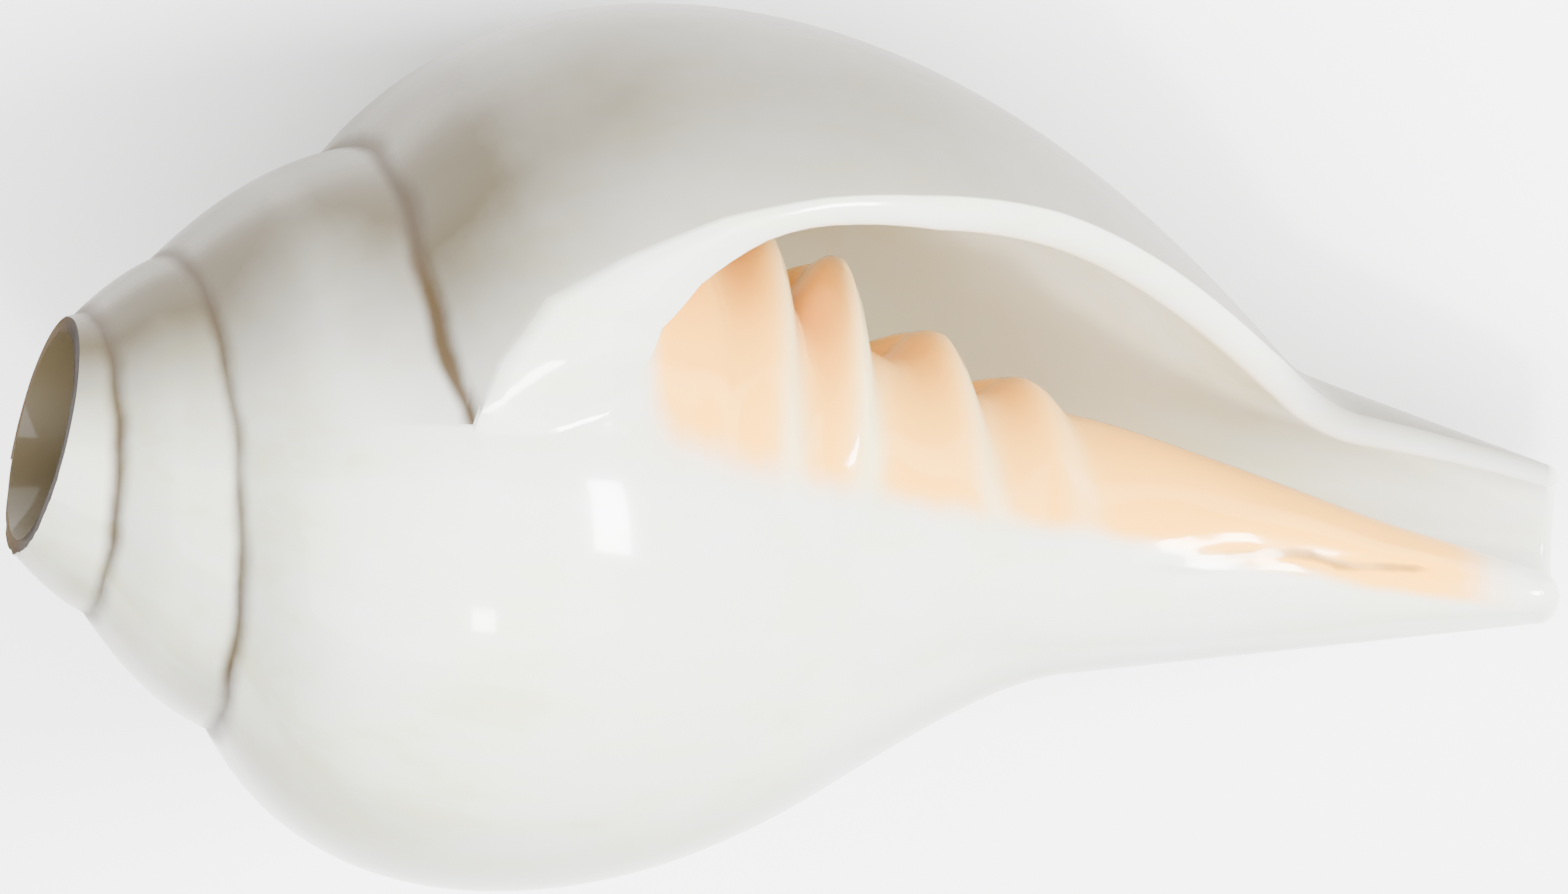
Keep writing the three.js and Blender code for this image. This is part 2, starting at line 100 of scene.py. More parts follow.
@dataclass(frozen=True)
class Span:
    """A stretch between two values, along the axis or in turns."""

    low: float
    high: float

    def rise(self, value: Numbers) -> Numbers:
        """A smooth rise from 0 to 1 over the stretch."""
        return smoothstep(self.low, self.high, value)

    def fall(self, value: Numbers) -> Numbers:
        """A smooth fall from 1 to 0 over the stretch."""
        return 1 - self.rise(value)

    def holds(self, value: Numbers) -> Numbers:
        """Whether a value lies on the stretch."""
        return (value > self.low) & (value < self.high)


class Spline:
    """A smooth curve through points that never overshoots them, straight beyond its ends."""

    def __init__(self, xs: Sequence[float], ys: Sequence[float]) -> None:
        """Works out the slope at each point.

        Args:
            xs: The points' positions, rising.
            ys: The points' values.
        """
        self.xs = np.array(xs, float)
        self.ys = np.array(ys, float)
        slopes = np.diff(self.ys) / np.diff(self.xs)
        before, after = slopes[:-1], slopes[1:]
        same_way = before * after > 0
        between = np.where(same_way, 2 * before * after / np.where(same_way, before + after, 1), 0)
        self.slopes = np.concatenate([slopes[:1], between, slopes[-1:]])

    def __call__(self, x: Numbers) -> Array:
        """The curve's value.

        Args:
            x: One position or an array of them.

        Returns:
            The value at each position.
        """
        x = np.asarray(x, float)
        last = len(self.xs) - 2
        i = np.clip(np.searchsorted(self.xs, x, side="right") - 1, 0, last)
        width = self.xs[i + 1] - self.xs[i]
        t = (x - self.xs[i]) / width
        inside = (
            self.ys[i] * (1 + 2 * t) * (1 - t) ** 2
            + self.slopes[i] * width * t * (1 - t) ** 2
            + self.ys[i + 1] * t * t * (3 - 2 * t)
            + self.slopes[i + 1] * width * t * t * (t - 1)
        )
        before = self.ys[0] + self.slopes[0] * (x - self.xs[0])
        after = self.ys[-1] + self.slopes[-1] * (x - self.xs[-1])
        return np.where(x < self.xs[0], before, np.where(x > self.xs[-1], after, inside))


@dataclass(frozen=True)
class Fold:
    """A fold on the pillar: where its crest crosses the front and the top, and its size."""

    front: float
    top: float
    height: float
    rise: float
    fall: float


@dataclass(frozen=True)
class Crease:
    """A small ridge, or a groove where its height is negative, that runs down the outside."""

    course: Spline
    height: float
    width: float
    fade_in: float = 8.0
    fade_out: float = 6.0

    def rise(self, along: Numbers, turn: Numbers) -> Numbers:
        """How far it stands out of the surface.

        Args:
            along: The place along the axis.
            turn: The turn.

        Returns:
            The height in millimetres.
        """
        start, end = self.course.xs[0], self.course.xs[-1]
        fade = smoothstep(start, start + self.fade_in, along)
        fade = fade * (1 - smoothstep(end - self.fade_out, end, along))
        across = (turn - self.course(along)) / self.width
        return self.height * fade * np.exp(-(across**2))


@dataclass(frozen=True)
class Glaze:
    """The thin glaze laid on the whorl beside the mouth, whose lower edge shows as a step."""

    edge: Spline = Spline(
        [34, 43, 52, 63, 80, 100, 115],
        [1.028, 1.027, 1.02, 1.006, 0.996, 0.98, 0.97],
    )
    height: float = 0.35
    step: Span = Span(0.0, 0.008)
    turns: Span = Span(1.05, 1.15)
    start: Span = Span(33.0, 37.0)
    end: Span = Span(50.0, 64.0)

    def rise(self, along: Numbers, turn: Numbers) -> Numbers:
        """How far the glaze stands out of the whorl.

        Args:
            along: The place along the axis.
            turn: The turn.

        Returns:
            The height in millimetres.
        """
        past_edge = self.step.rise(turn - self.edge(along))
        reach = self.start.rise(along) * self.end.fall(along)
        return self.height * past_edge * self.turns.fall(turn) * reach


@dataclass(frozen=True)
class Canal:
    """The cone of the canal about a line that leaves the axis."""

    along: float = 124.7
    radius: float = 12.9
    taper: float = 0.225
    lift: float = 2.0
    lift_fall: float = 0.055
    start: Span = Span(50.0, 85.0)


@dataclass(frozen=True)
class Whorls:
    """The growth laws of the spiral. Every length is in millimetres."""

    length: float = 150.0
    lip_turn: float = 0.02
    top_turn: float = 1.25
    open_turns: float = 0.5
    apex_along: float = -7.0
    growth_along: float = 2.0
    growth_across: float = 1.56
    suture_course: Spline = Spline(
        [-1.25, -0.75, -0.25, 0.25, 0.75, 1.25, 1.75, 2.25, 2.75, 3.25, 3.75],
        [92, 63.2, 42.8, 28.1, 18.8, 10.7, 6.0, 3.3, -2.0, -5.5, -7.5],
    )
    suture_radius: Spline = Spline(
        [-1.25, -0.75, -0.25, 0.25, 0.75, 1.25, 1.75, 2.25, 2.75, 3.25, 3.75],
        [50, 46.2, 39.2, 30.5, 25.6, 19.0, 15.4, 13.0, 9.6, 7.0, 5.2],
    )
    hook_depth: float = 1.9
    hook_full_turn: float = 0.06
    hook_end: Span = Span(0.1, 0.24)
    wave_height: float = 0.16
    wave_rates: tuple[float, float] = (57.0, 93.0)
    wave_shift: float = 1.0
    wave_full_turn: float = 0.1
    shoulder_flat: float = 0.7
    shoulder_turns: Span = Span(0.75, 1.25)
    shoulder_powers: tuple[int, int] = (2, 5)
    widest_turn: float = 0.25
    widest_at: float = 60.0
    half_turn_ratio: float = 1.3
    fitted_turns: Span = Span(0.75, 1.0)
    free_radius: Spline = Spline([-0.25, 0, 0.25, 0.5, 0.75, 1.0], [48.2, 47.4, 46.3, 43.1, 39.2, 35.2])
    flank: Spline = Spline(
        [-0.25, 0.25, 0.75, 1.25, 1.75, 2.25, 2.75, 3.75],
        [0.0088, 0.0088, 0.0101, 0.009, 0.0141, 0.0225, 0.036, 0.09],
    )
    canal: Canal = Canal()
    pillar_height: Spline = Spline(
        [-20, 20, 40, 50, 60, 72, 80, 89.5, 98, 108.5, 123.5, 137.6, 150],
        [80, 60, 40, 31, 24, 17.2, 13.2, 11, 10.1, 7.6, 3.3, 0, -3.8],
    )
    pillar_rounding: float = 4.0
    core_inside: float = 4.0
    core_tip: float = 1.2
    core_turns: Span = Span(1.25, 1.6)
    thins_from: float = 100.0
    waist: tuple[float, float] = (4.0, 9.0)
    waist_turns: Span = Span(0.25, 0.75)
    drop_from: float = 95.0
    drop_depth: float = 5.3
    drop_power: float = 1.4
    glaze: Glaze = Glaze()
    flap: Crease = Crease(
        Spline(
            [107, 111, 115.6, 120, 125, 129.4, 134, 141],
            [0.977, 1.01, 1.031, 1.053, 1.046, 1.03, 1.044, 1.07],
        ),
        height=0.3,
        width=0.026,
    )
    flap_groove: Crease = Crease(
        Spline(
            [107, 109.4, 116, 122.7, 125.5, 130, 141],
            [0.968, 0.97, 0.988, 1.003, 0.995, 1.005, 1.04],
        ),
        height=-0.26,
        width=0.014,
    )
    folds: tuple[Fold, ...] = (
        Fold(front=60.2, top=58, height=1.2, rise=4, fall=2),
        Fold(front=66, top=68, height=6, rise=7, fall=3),
        Fold(front=74.5, top=75, height=7, rise=5, fall=3),
        Fold(front=88.3, top=85.3, height=5, rise=6, fall=3.2),
        Fold(front=98.5, top=94.5, height=2.6, rise=5, fall=4),
    )
    wall: Spline = Spline([0, 0.2, 0.75, 1.25, 1.75, 2.75], [3.0, 4.2, 4.0, 3.2, 2.4, 2.0])
    wall_at_tip: float = 0.5
    wall_share: float = 0.62
    wall_rounding: float = 1.0
    wall_slope_limit: float = 1.3
    folds_start: Span = Span(0.98, 1.2)
    folds_end: Span = Span(2.0, 2.6)
    tip_rounding: float = 2.0
    tip_slant: float = 0.25
    slant_from: float = 122.0
    chamber_rate: float = 1.3
    chamber_rounding: float = 0.12

    @property
    def tip_start(self) -> float:
        """Where the rounding of the tip begins."""
        return self.length - self.tip_rounding

    def suture_along(self, turn: Numbers) -> Numbers:
        """Where a whorl meets the one before. The suture hooks forwards where it ends at the lip.

        Args:
            turn: The turn.

        Returns:
            The place along the axis, with slight waves that shrink towards the apex.
        """
        hook = smoothstep(self.lip_turn, self.hook_full_turn, turn) * self.hook_end.fall(turn)
        slow, quick = self.wave_rates
        waves = np.sin(turn * slow) + np.sin(turn * quick + self.wave_shift)
        waves = waves * smoothstep(self.lip_turn, self.wave_full_turn, turn)
        waves = waves * self.wave_height / self.growth_across**turn
        return self.suture_course(turn) - self.hook_depth * hook + waves

    def shrunk(self, along: Numbers, turns: Numbers) -> Numbers:
        """A place along the axis, carried towards the apex by a number of turns."""
        return self.apex_along + (along - self.apex_along) * self.growth_along ** -turns

    def widest_along(self, turn: Numbers) -> Numbers:
        """Where the whorl is widest."""
        steps = -2 * (turn - self.widest_turn)
        return self.apex_along + (self.widest_at - self.apex_along) * self.half_turn_ratio**steps

    def centre_drop(self, along: Numbers) -> Numbers:
        """How far the centre of a cross-section lies below the axis."""
        share = clamp01((along - self.drop_from) / (self.length - self.drop_from))
        return self.drop_depth * share**self.drop_power

    def shoulder_left(self, share: Numbers, turn: Numbers) -> Numbers:
        """The part of the shoulder's rise that is still to come.

        Args:
            share: How far along the shoulder, from 0 at the suture to 1 where the whorl is widest.
            turn: The turn, since later whorls have a fuller shoulder.

        Returns:
            A share from 1 at the suture to 0 where the whorl is widest.
        """
        flat = lerp(self.shoulder_flat, 1.0, self.shoulder_turns.rise(turn))
        left = np.maximum(1 - share, 0)
        gentle, sharp = self.shoulder_powers
        return flat * left**gentle + (1 - flat) * left**sharp

    def widest_radius(self, turn: Numbers) -> Numbers:
        """A whorl's largest radius, set from the second turn back so the next suture lies on it.

        Args:
            turn: The turn.

        Returns:
            The radius in millimetres.
        """
        start = self.suture_along(turn)
        share = (self.suture_along(turn - 1) - start) / (self.widest_along(turn) - start)
        left = self.shoulder_left(share, turn)
        fitted = (self.suture_radius(turn - 1) - self.suture_radius(turn) * left) / (1 - left)
        free = self.free_radius(turn)
        blended = lerp(free, fitted, self.fitted_turns.rise(turn))
        return np.where(turn <= self.fitted_turns.low, free, blended)

    def pillar_radius(self, along: Numbers, turn: Numbers) -> Numbers:
        """The pillar that each whorl winds round. It shrinks towards the apex as the whorls do.

        Args:
            along: The place along the axis.
            turn: The turn.

        Returns:
            The pillar's radius without its folds.
        """
        back = turn - self.top_turn
        matching = np.minimum(self.shrunk(along, -back), self.length)
        scale = self.growth_across**-back
        height = (self.pillar_height(matching) + self.centre_drop(matching)) * scale
        thinning = smoothstep(self.thins_from, self.length, along)
        core = lerp(self.core_inside, self.core_tip, thinning)
        return np.hypot(height, core * self.core_turns.rise(turn))

    def body_radius(self, along: Numbers, turn: Numbers) -> Numbers:
        """The whorl without its folds, measured from the centre line.

        Args:
            along: The place along the axis.
            turn: The turn.

        Returns:
            The outer radius.
        """
        azimuth = 2 * math.pi * turn
        widest, widest_at = self.widest_radius(turn), self.widest_along(turn)
        start = self.suture_along(turn)
        share = (along - start) / (widest_at - start)
        shoulder = widest - (widest - self.suture_radius(turn)) * self.shoulder_left(share, turn)
        flank = widest - self.flank(turn) * (along - widest_at) ** 2
        body = np.where(along < widest_at, shoulder, flank)
        drop = self.centre_drop(along)
        beyond = along - self.canal.along
        lift = self.canal.lift - self.canal.lift_fall * beyond + drop
        cone = self.canal.radius - self.canal.taper * beyond
        across = np.sqrt(np.maximum(cone**2 - (lift * np.cos(azimuth)) ** 2, 1))
        unshrunk = self.shrunk(along, np.minimum(self.top_turn - turn, 0))
        canal = (lift * np.sin(azimuth) + across) * self.canal.start.rise(unshrunk)
        waist = lerp(*self.waist, self.waist_turns.rise(turn))
        outside = soft_max(body + drop * np.sin(azimuth), canal, waist)
        return soft_min(outside, self.pillar_radius(along, turn), self.pillar_rounding)

    def crest_along(self, fold: Fold, turn: Numbers) -> Numbers:
        """Where a fold's crest lies at a turn.

        Args:
            fold: The fold.
            turn: The turn.

        Returns:
            The place along the axis.
        """
        top = self.top_turn
        visible = lerp(fold.front, fold.top, clamp01((turn - 1) / (top - 1)))
        return np.where(turn > top, self.shrunk(fold.top, turn - top), visible)

    def fold_scale(self, turn: Numbers) -> Numbers:
        """How small the folds are at a turn, against those at the mouth."""
        return np.where(turn > self.top_turn, self.growth_along ** (self.top_turn - turn), 1.0)

    def fold_rise(self, along: Numbers, turn: Numbers) -> Numbers:
        """How far the folds stand out of the pillar.

        Args:
            along: The place along the axis.
            turn: The turn.

        Returns:
            The height in millimetres, 0 away from the folds.
        """
        scale = self.fold_scale(turn)
        rise = np.zeros(np.broadcast(along, turn).shape)
        for fold in self.folds:
            offset = (along - self.crest_along(fold, turn)) / scale
            share = clamp01(1 - np.abs(offset) / np.where(offset < 0, fold.rise, fold.fall))
            rise = np.maximum(rise, fold.height * scale * share * share * (3 - 2 * share))
        return rise * self.folds_start.rise(turn) * self.folds_end.fall(turn)

    def outer_radius(self, along: Numbers, turn: Numbers) -> Numbers:
        """The whorl's outer radius with its folds and small creases."""
        small = sum(part.rise(along, turn) for part in (self.glaze, self.flap, self.flap_groove))
        return self.body_radius(along, turn) + self.fold_rise(along, turn) + small

    def chamber_end(self, turn: Numbers) -> Numbers:
        """Where the chamber ends at a turn. It runs past the tip while the canal is open."""
        closed = turn - self.lip_turn - self.open_turns
        return self.shrunk(self.tip_start, self.chamber_rate * closed)

    def inner_radius(self, along: Numbers, turn: Numbers) -> Numbers:
        """The inner face of the wall. The chamber's section closes in a round at its far end.

        Args:
            along: The place along the axis.
            turn: The turn of the wall.

        Returns:
            The radius of the wall's inner face.
        """
        outside = self.body_radius(along, turn)
        inside = self.outer_radius(along, turn + 1)
        half_step = 0.5
        slope = self.body_radius(along + half_step, turn) - self.body_radius(along - half_step, turn)
        thin = lerp(1, self.wall_at_tip, smoothstep(self.thins_from, self.length, along))
        thickness = self.wall(turn) * thin * np.minimum(np.hypot(1, slope), self.wall_slope_limit)
        thickest = self.wall_share * (outside - inside)
        room = outside - inside - soft_min(thickness, thickest, self.wall_rounding)
        end = self.chamber_end(turn)
        closing = clamp01(1 - (end - along) / (self.chamber_rounding * (end - self.apex_along)))
        return inside + room * np.sqrt(1 - closing**2)

    def place(self, along: Numbers, turn: Numbers, radius: Numbers) -> Array:
        """Points in the shell's own frame: along the axis, up and towards you.

        Args:
            along: The place along the axis.
            turn: The turn.
            radius: The distance from the centre line.

        Returns:
            An array of points, one more dimension than the arguments.
        """
        azimuth = 2 * math.pi * turn
        up = radius * np.sin(azimuth) - self.centre_drop(along)
        front = radius * np.cos(azimuth)
        slant = self.tip_slant * smoothstep(self.slant_from, self.length, along)
        return np.stack(np.broadcast_arrays(along - slant * front, up, front), axis=-1)


@dataclass(frozen=True)
class Lip:
    """The lip's leaning edge and the pad that joins it to the whorl before it."""

    leans: Spline = Spline(
        [34, 37.5, 44, 52, 60, 78, 90, 103, 115, 121, 128, 142, 150],
        [0, 16, 21, 25.5, 28.8, 33.4, 37.6, 40.5, 43.3, 51.5, 57.2, 70.5, 80],
    )
    lean_turns: float = 0.45
    rounding: float = 1.5
    pad_width: float = 19.2
    pad_reach: float = 1.05
    pad_shares: tuple[float, ...] = (0, 0.38, 0.77, 0.95, 1)
    pad_degrees: tuple[float, ...] = (0, 1, 7, 25, 44)
    pad_fade: float = 0.25
    pad_lean_turns: float = 0.3
    pad_bulge: float = 0.18
    pad_leaning: float = 6.0
    pad_start: float = 3.0
    pad_bending: float = 5.2
    seam_share: float = 0.15
    facing: float = 5.2
    fillet: float = 2.0


@dataclass(frozen=True)
class Mesher:
    """How finely the surface is cut: rows go round the axis, columns run down it."""

    whorls: Whorls
    lip: Lip
    rows_per_turn: int = 120
    crowding: float = 0.6
    growth_rows: int = 4
    split: int = 4
    fold_foot: float = 0.45
    chamber_turns: float = 2.3
    spire_turns: float = 3.5
    shoulder: tuple[float, ...] = (0, 0.04, 0.13, 0.3, 0.52, 0.76, 1)
    approach: tuple[float, ...] = (0.4, 0.75)
    tail: tuple[float, ...] = (0.2, 0.4, 0.6, 0.8, 1)

    @property
    def seam(self) -> int:
        """The coarse column of the next whorl's suture."""
        return len(self.shoulder) - 1

    @property
    def corner(self) -> int:
        """The coarse column where the wall's inner face leaves the whorl before it."""
        return self.seam + len(self.lip.pad_shares) - 1

    @property
    def tip(self) -> int:
        """The coarse column at the canal's tip."""
        return self.corner + len(self.approach) + 3 * len(self.whorls.folds) + len(self.tail)

    @property
    def first_inside(self) -> float:
        """The first turn that the lip covers."""
        return self.whorls.lip_turn + 1

    def row_turns(self, count: int) -> Array:
        """The turns of the rows, which lie closer where the lip and the flap are.

        Args:
            count: How many rows.

        Returns:
            Their turns, from the lip towards the apex.
        """
        share = np.arange(count) / self.rows_per_turn
        crowded = self.crowding * np.sin(2 * math.pi * share) / (2 * math.pi)
        return self.whorls.lip_turn + share - crowded

    def pad_left(self, turn: Numbers) -> Numbers:
        """How much of the pad is left at a turn behind the lip."""
        return 1 - smoothstep(0, self.lip.pad_fade, turn - self.whorls.lip_turn)

    def corner_along(self, turn: Numbers) -> Numbers:
        """Where the wall's inner face leaves the whorl before it."""
        usual = self.lip.seam_share * self.whorls.suture_radius(turn)
        return self.whorls.suture_along(turn) + lerp(usual, self.lip.pad_width, self.pad_left(turn))

    def chamber_stop(self, turn: Numbers) -> Numbers:
        """The last place along the axis that the chamber's columns reach."""
        return np.minimum(self.whorls.chamber_end(turn), self.whorls.tip_start)

    def inside_stations(self, turn: Array) -> Array:
        """The columns that the lip or a wall covers, set by the folds.

        Args:
            turn: The rows' turns.

        Returns:
            One row of stations for each turn, from the corner to the chamber's end.
        """
        scale = self.whorls.fold_scale(turn)
        foot = self.foot_leans()
        folds = []
        for fold in self.whorls.folds:
            column = self.corner + len(self.approach) + len(folds) + 2
            leaned = turn + foot[column] * self.foot_lean_left(turn)
            crest = self.whorls.crest_along(fold, leaned)
            folds += [crest - fold.rise * self.fold_foot * scale, crest, crest + fold.fall * scale]
        corner = self.corner_along(turn - 1)
        stop = self.chamber_stop(turn - 1)
        approach = [lerp(corner, folds[0], share) for share in self.approach]
        tail = [lerp(folds[-1], stop, share) for share in self.tail]
        return np.stack([corner, *approach, *folds, *tail], axis=-1)

    @staticmethod
    def shares_of(stations: Array) -> Array:
        """The stations of one row as shares of its reach."""
        return (stations - stations[0]) / (stations[-1] - stations[0])

    def outer_stations(self, turn: Array) -> Array:
        """The places along the axis of each row's columns on the outer face.

        Args:
            turn: The rows' turns.

        Returns:
            One row of coarse stations for each turn, from the suture to the tip.
        """
        whorls = self.whorls
        start, following = whorls.suture_along(turn)[:, None], whorls.suture_along(turn - 1)[:, None]
        behind = np.maximum(turn - 1, whorls.lip_turn)
        width = (self.corner_along(behind) - whorls.suture_along(behind))[:, None]
        shoulder = lerp(start, following, np.array(self.shoulder))
        seam = following + width * np.array(self.lip.pad_shares[1:-1])
        outside_shares = self.shares_of(self.inside_stations(np.array([self.first_inside]))[0])
        outside = lerp(following + width, whorls.tip_start, outside_shares)
        rest = np.where(turn[:, None] < self.first_inside, outside, self.inside_stations(turn))
        return np.concatenate([shoulder, seam, rest], axis=1)

    def inner_stations(self, turn: Array) -> Array:
        """The same for the wall's inner face, whose columns at the lip face those outside.

        Args:
            turn: The rows' turns.

        Returns:
            One row of coarse stations for each turn, from the corner to the chamber's end.
        """
        at_lip = self.outer_stations(np.array([self.whorls.lip_turn]))[0]
        reach = self.lip.pad_reach * self.lip.pad_width
        shares = self.shares_of(at_lip + self.lip.pad_width * np.exp((at_lip[0] - at_lip) / reach))
        return lerp(self.corner_along(turn)[:, None], self.chamber_stop(turn)[:, None], shares)

    def spread(self, coarse: Array) -> Array:
        """Coarse columns cut into finer ones.

        Args:
            coarse: Rows of coarse column values.

        Returns:
            Rows with each step between columns cut into equal parts.
        """
        places = np.arange(self.tip * self.split + 1) / self.split
        low = np.minimum(places.astype(int), self.tip - 1)
        return lerp(coarse[..., low], coarse[..., low + 1], places - low)

    def foot_leans(self) -> Array:
        """How far the pad's foot leans round the axis.

        Returns:
            The lean in turns of each coarse column.
        """
        columns = np.arange(self.tip + 1)
        last = len(self.lip.pad_degrees) - 1
        foot = np.array(self.lip.pad_degrees)[np.clip(columns - self.seam, 0, last)] / 360
        return foot * (1 - smoothstep(self.corner, self.tip, columns))

    def lip_leans(self) -> Array:
        """How far the lip's outer edge leans round the axis, in turns, by coarse column."""
        return self.lip.leans(self.outer_stations(np.array([self.whorls.lip_turn]))[0]) / 360

    def lip_lean_left(self, turn: Numbers) -> Numbers:
        """How much of the lip's lean is left at a turn."""
        return 1 - smoothstep(0, self.lip.lean_turns, np.abs(turn - self.whorls.lip_turn))

    def foot_lean_left(self, turn: Numbers) -> Numbers:
        """How much of the lean of the pad's foot is left at a turn."""
        return 1 - smoothstep(0, self.lip.pad_lean_turns, np.abs(turn - self.first_inside))

    def outer_turns(self, turn: Array) -> Array:
        """The turn of every vertex on the outer face, with both leans.

        Args:
            turn: The rows' turns.

        Returns:
            The vertices' turns by row and column.
        """
        at_lip = self.lip_leans() * self.lip_lean_left(turn)[:, None]
        at_foot = self.foot_leans() * self.foot_lean_left(turn)[:, None]
        return self.spread(turn[:, None] + at_lip + at_foot)

    def inner_turns(self, turn: Array) -> Array:
        """The turn of every vertex on the wall's inner face.

        Args:
            turn: The rows' turns.

        Returns:
            The vertices' turns by row and column.
        """
        at_lip = self.lip_leans() * self.lip_lean_left(turn)[:, None]
        at_foot = self.foot_leans()[self.corner] * self.foot_lean_left(turn + 1)[:, None]
        leaning = smoothstep(0, self.lip.pad_leaning, np.arange(self.tip + 1))
        return self.spread(turn[:, None] + lerp(at_foot, at_lip, leaning))


class Tint(Enum):
    """What is painted on the surface from the place on the spiral, one mesh attribute each."""

    BLUSH = "blush"
    # The tan of the chamber's inside, darkened further as painted shade of the hollow.
    HOLLOW_TAN_AND_SHADE = "hollow"
    SEAM = "seam"
    CREST = "crest"
    # Painted shade: the upper side, the underside, beside the last suture and the lip's edge near the tip.
    PAINTED_SHADE = "shade"


@dataclass(frozen=True)
class Painting:
    """Where each tint lies: along the axis, round it in turns, or across the lip's edge."""

    worn: float = 0.3
    worn_turns: Span = Span(0.4, 1.0)
    groove_least: float = 0.7
    groove_narrowness: float = 90.0
    groove_middle: float = 124.0
    groove_half: float = 13.0
    flap_along: Span = Span(104.0, 144.0)
    flap_turns: Span = Span(0.9, 1.1)
    blush_edge: Span = Span(-0.02, 0.035)
    blush_start: Span = Span(48.5, 55.0)
    blush_end: Span = Span(134.0, 150.0)
    blush_on_wall: Span = Span(0.2, 0.9)
    blush_on_lip: Span = Span(0.45, 0.9)
    # The hollow tint: the inside's tan together with painted shade of the chamber, fading out in the
    # canal.
    hollow_turns: Span = Span(1.22, 1.5)
    hollow_end: Span = Span(105.0, 130.0)
    hollow_behind_lip: Span = Span(0.05, 0.3)
    canal_along: Span = Span(105.0, 128.0)
    canal_turns: Span = Span(0.5, 0.8)
    crest_offset: float = 0.9
    crest_width: float = 1.7
    crest_height: float = 7.0
    # Painted shade: darker on the upper side, on the underside and on the body whorl beside the last
    # suture, but not where the lip covers it.
    upper_side: Span = Span(-0.15, 1.0)
    upper_share: float = 0.9
    under_side: Span = Span(0.8, 1.0)
    under_share: float = 0.4
    covered_turns: Span = Span(0.9, 1.0)
    beside_along: Span = Span(5.0, 30.0)
    beside_start: Span = Span(0.0, 0.12)
    beside_end: Span = Span(0.2, 0.5)
    beside_share: float = 0.15
    darkest: float = 0.9
    # Painted shade on the lip's edge towards the tip.
    lip_shade: float = 0.75
    lip_shade_along: Span = Span(112.0, 124.0)

    def blush_reach(self, along: Array) -> Array:
        """How far the blush reaches along the pillar, from the pad to a little before the tip."""
        return self.blush_start.rise(along) * self.blush_end.fall(along)


@dataclass
class Patch:
    """A grid of vertices with their points and their tints, which fit the whole grid."""

    points: Array
    tints: dict[Tint, Numbers] = field(default_factory=dict)


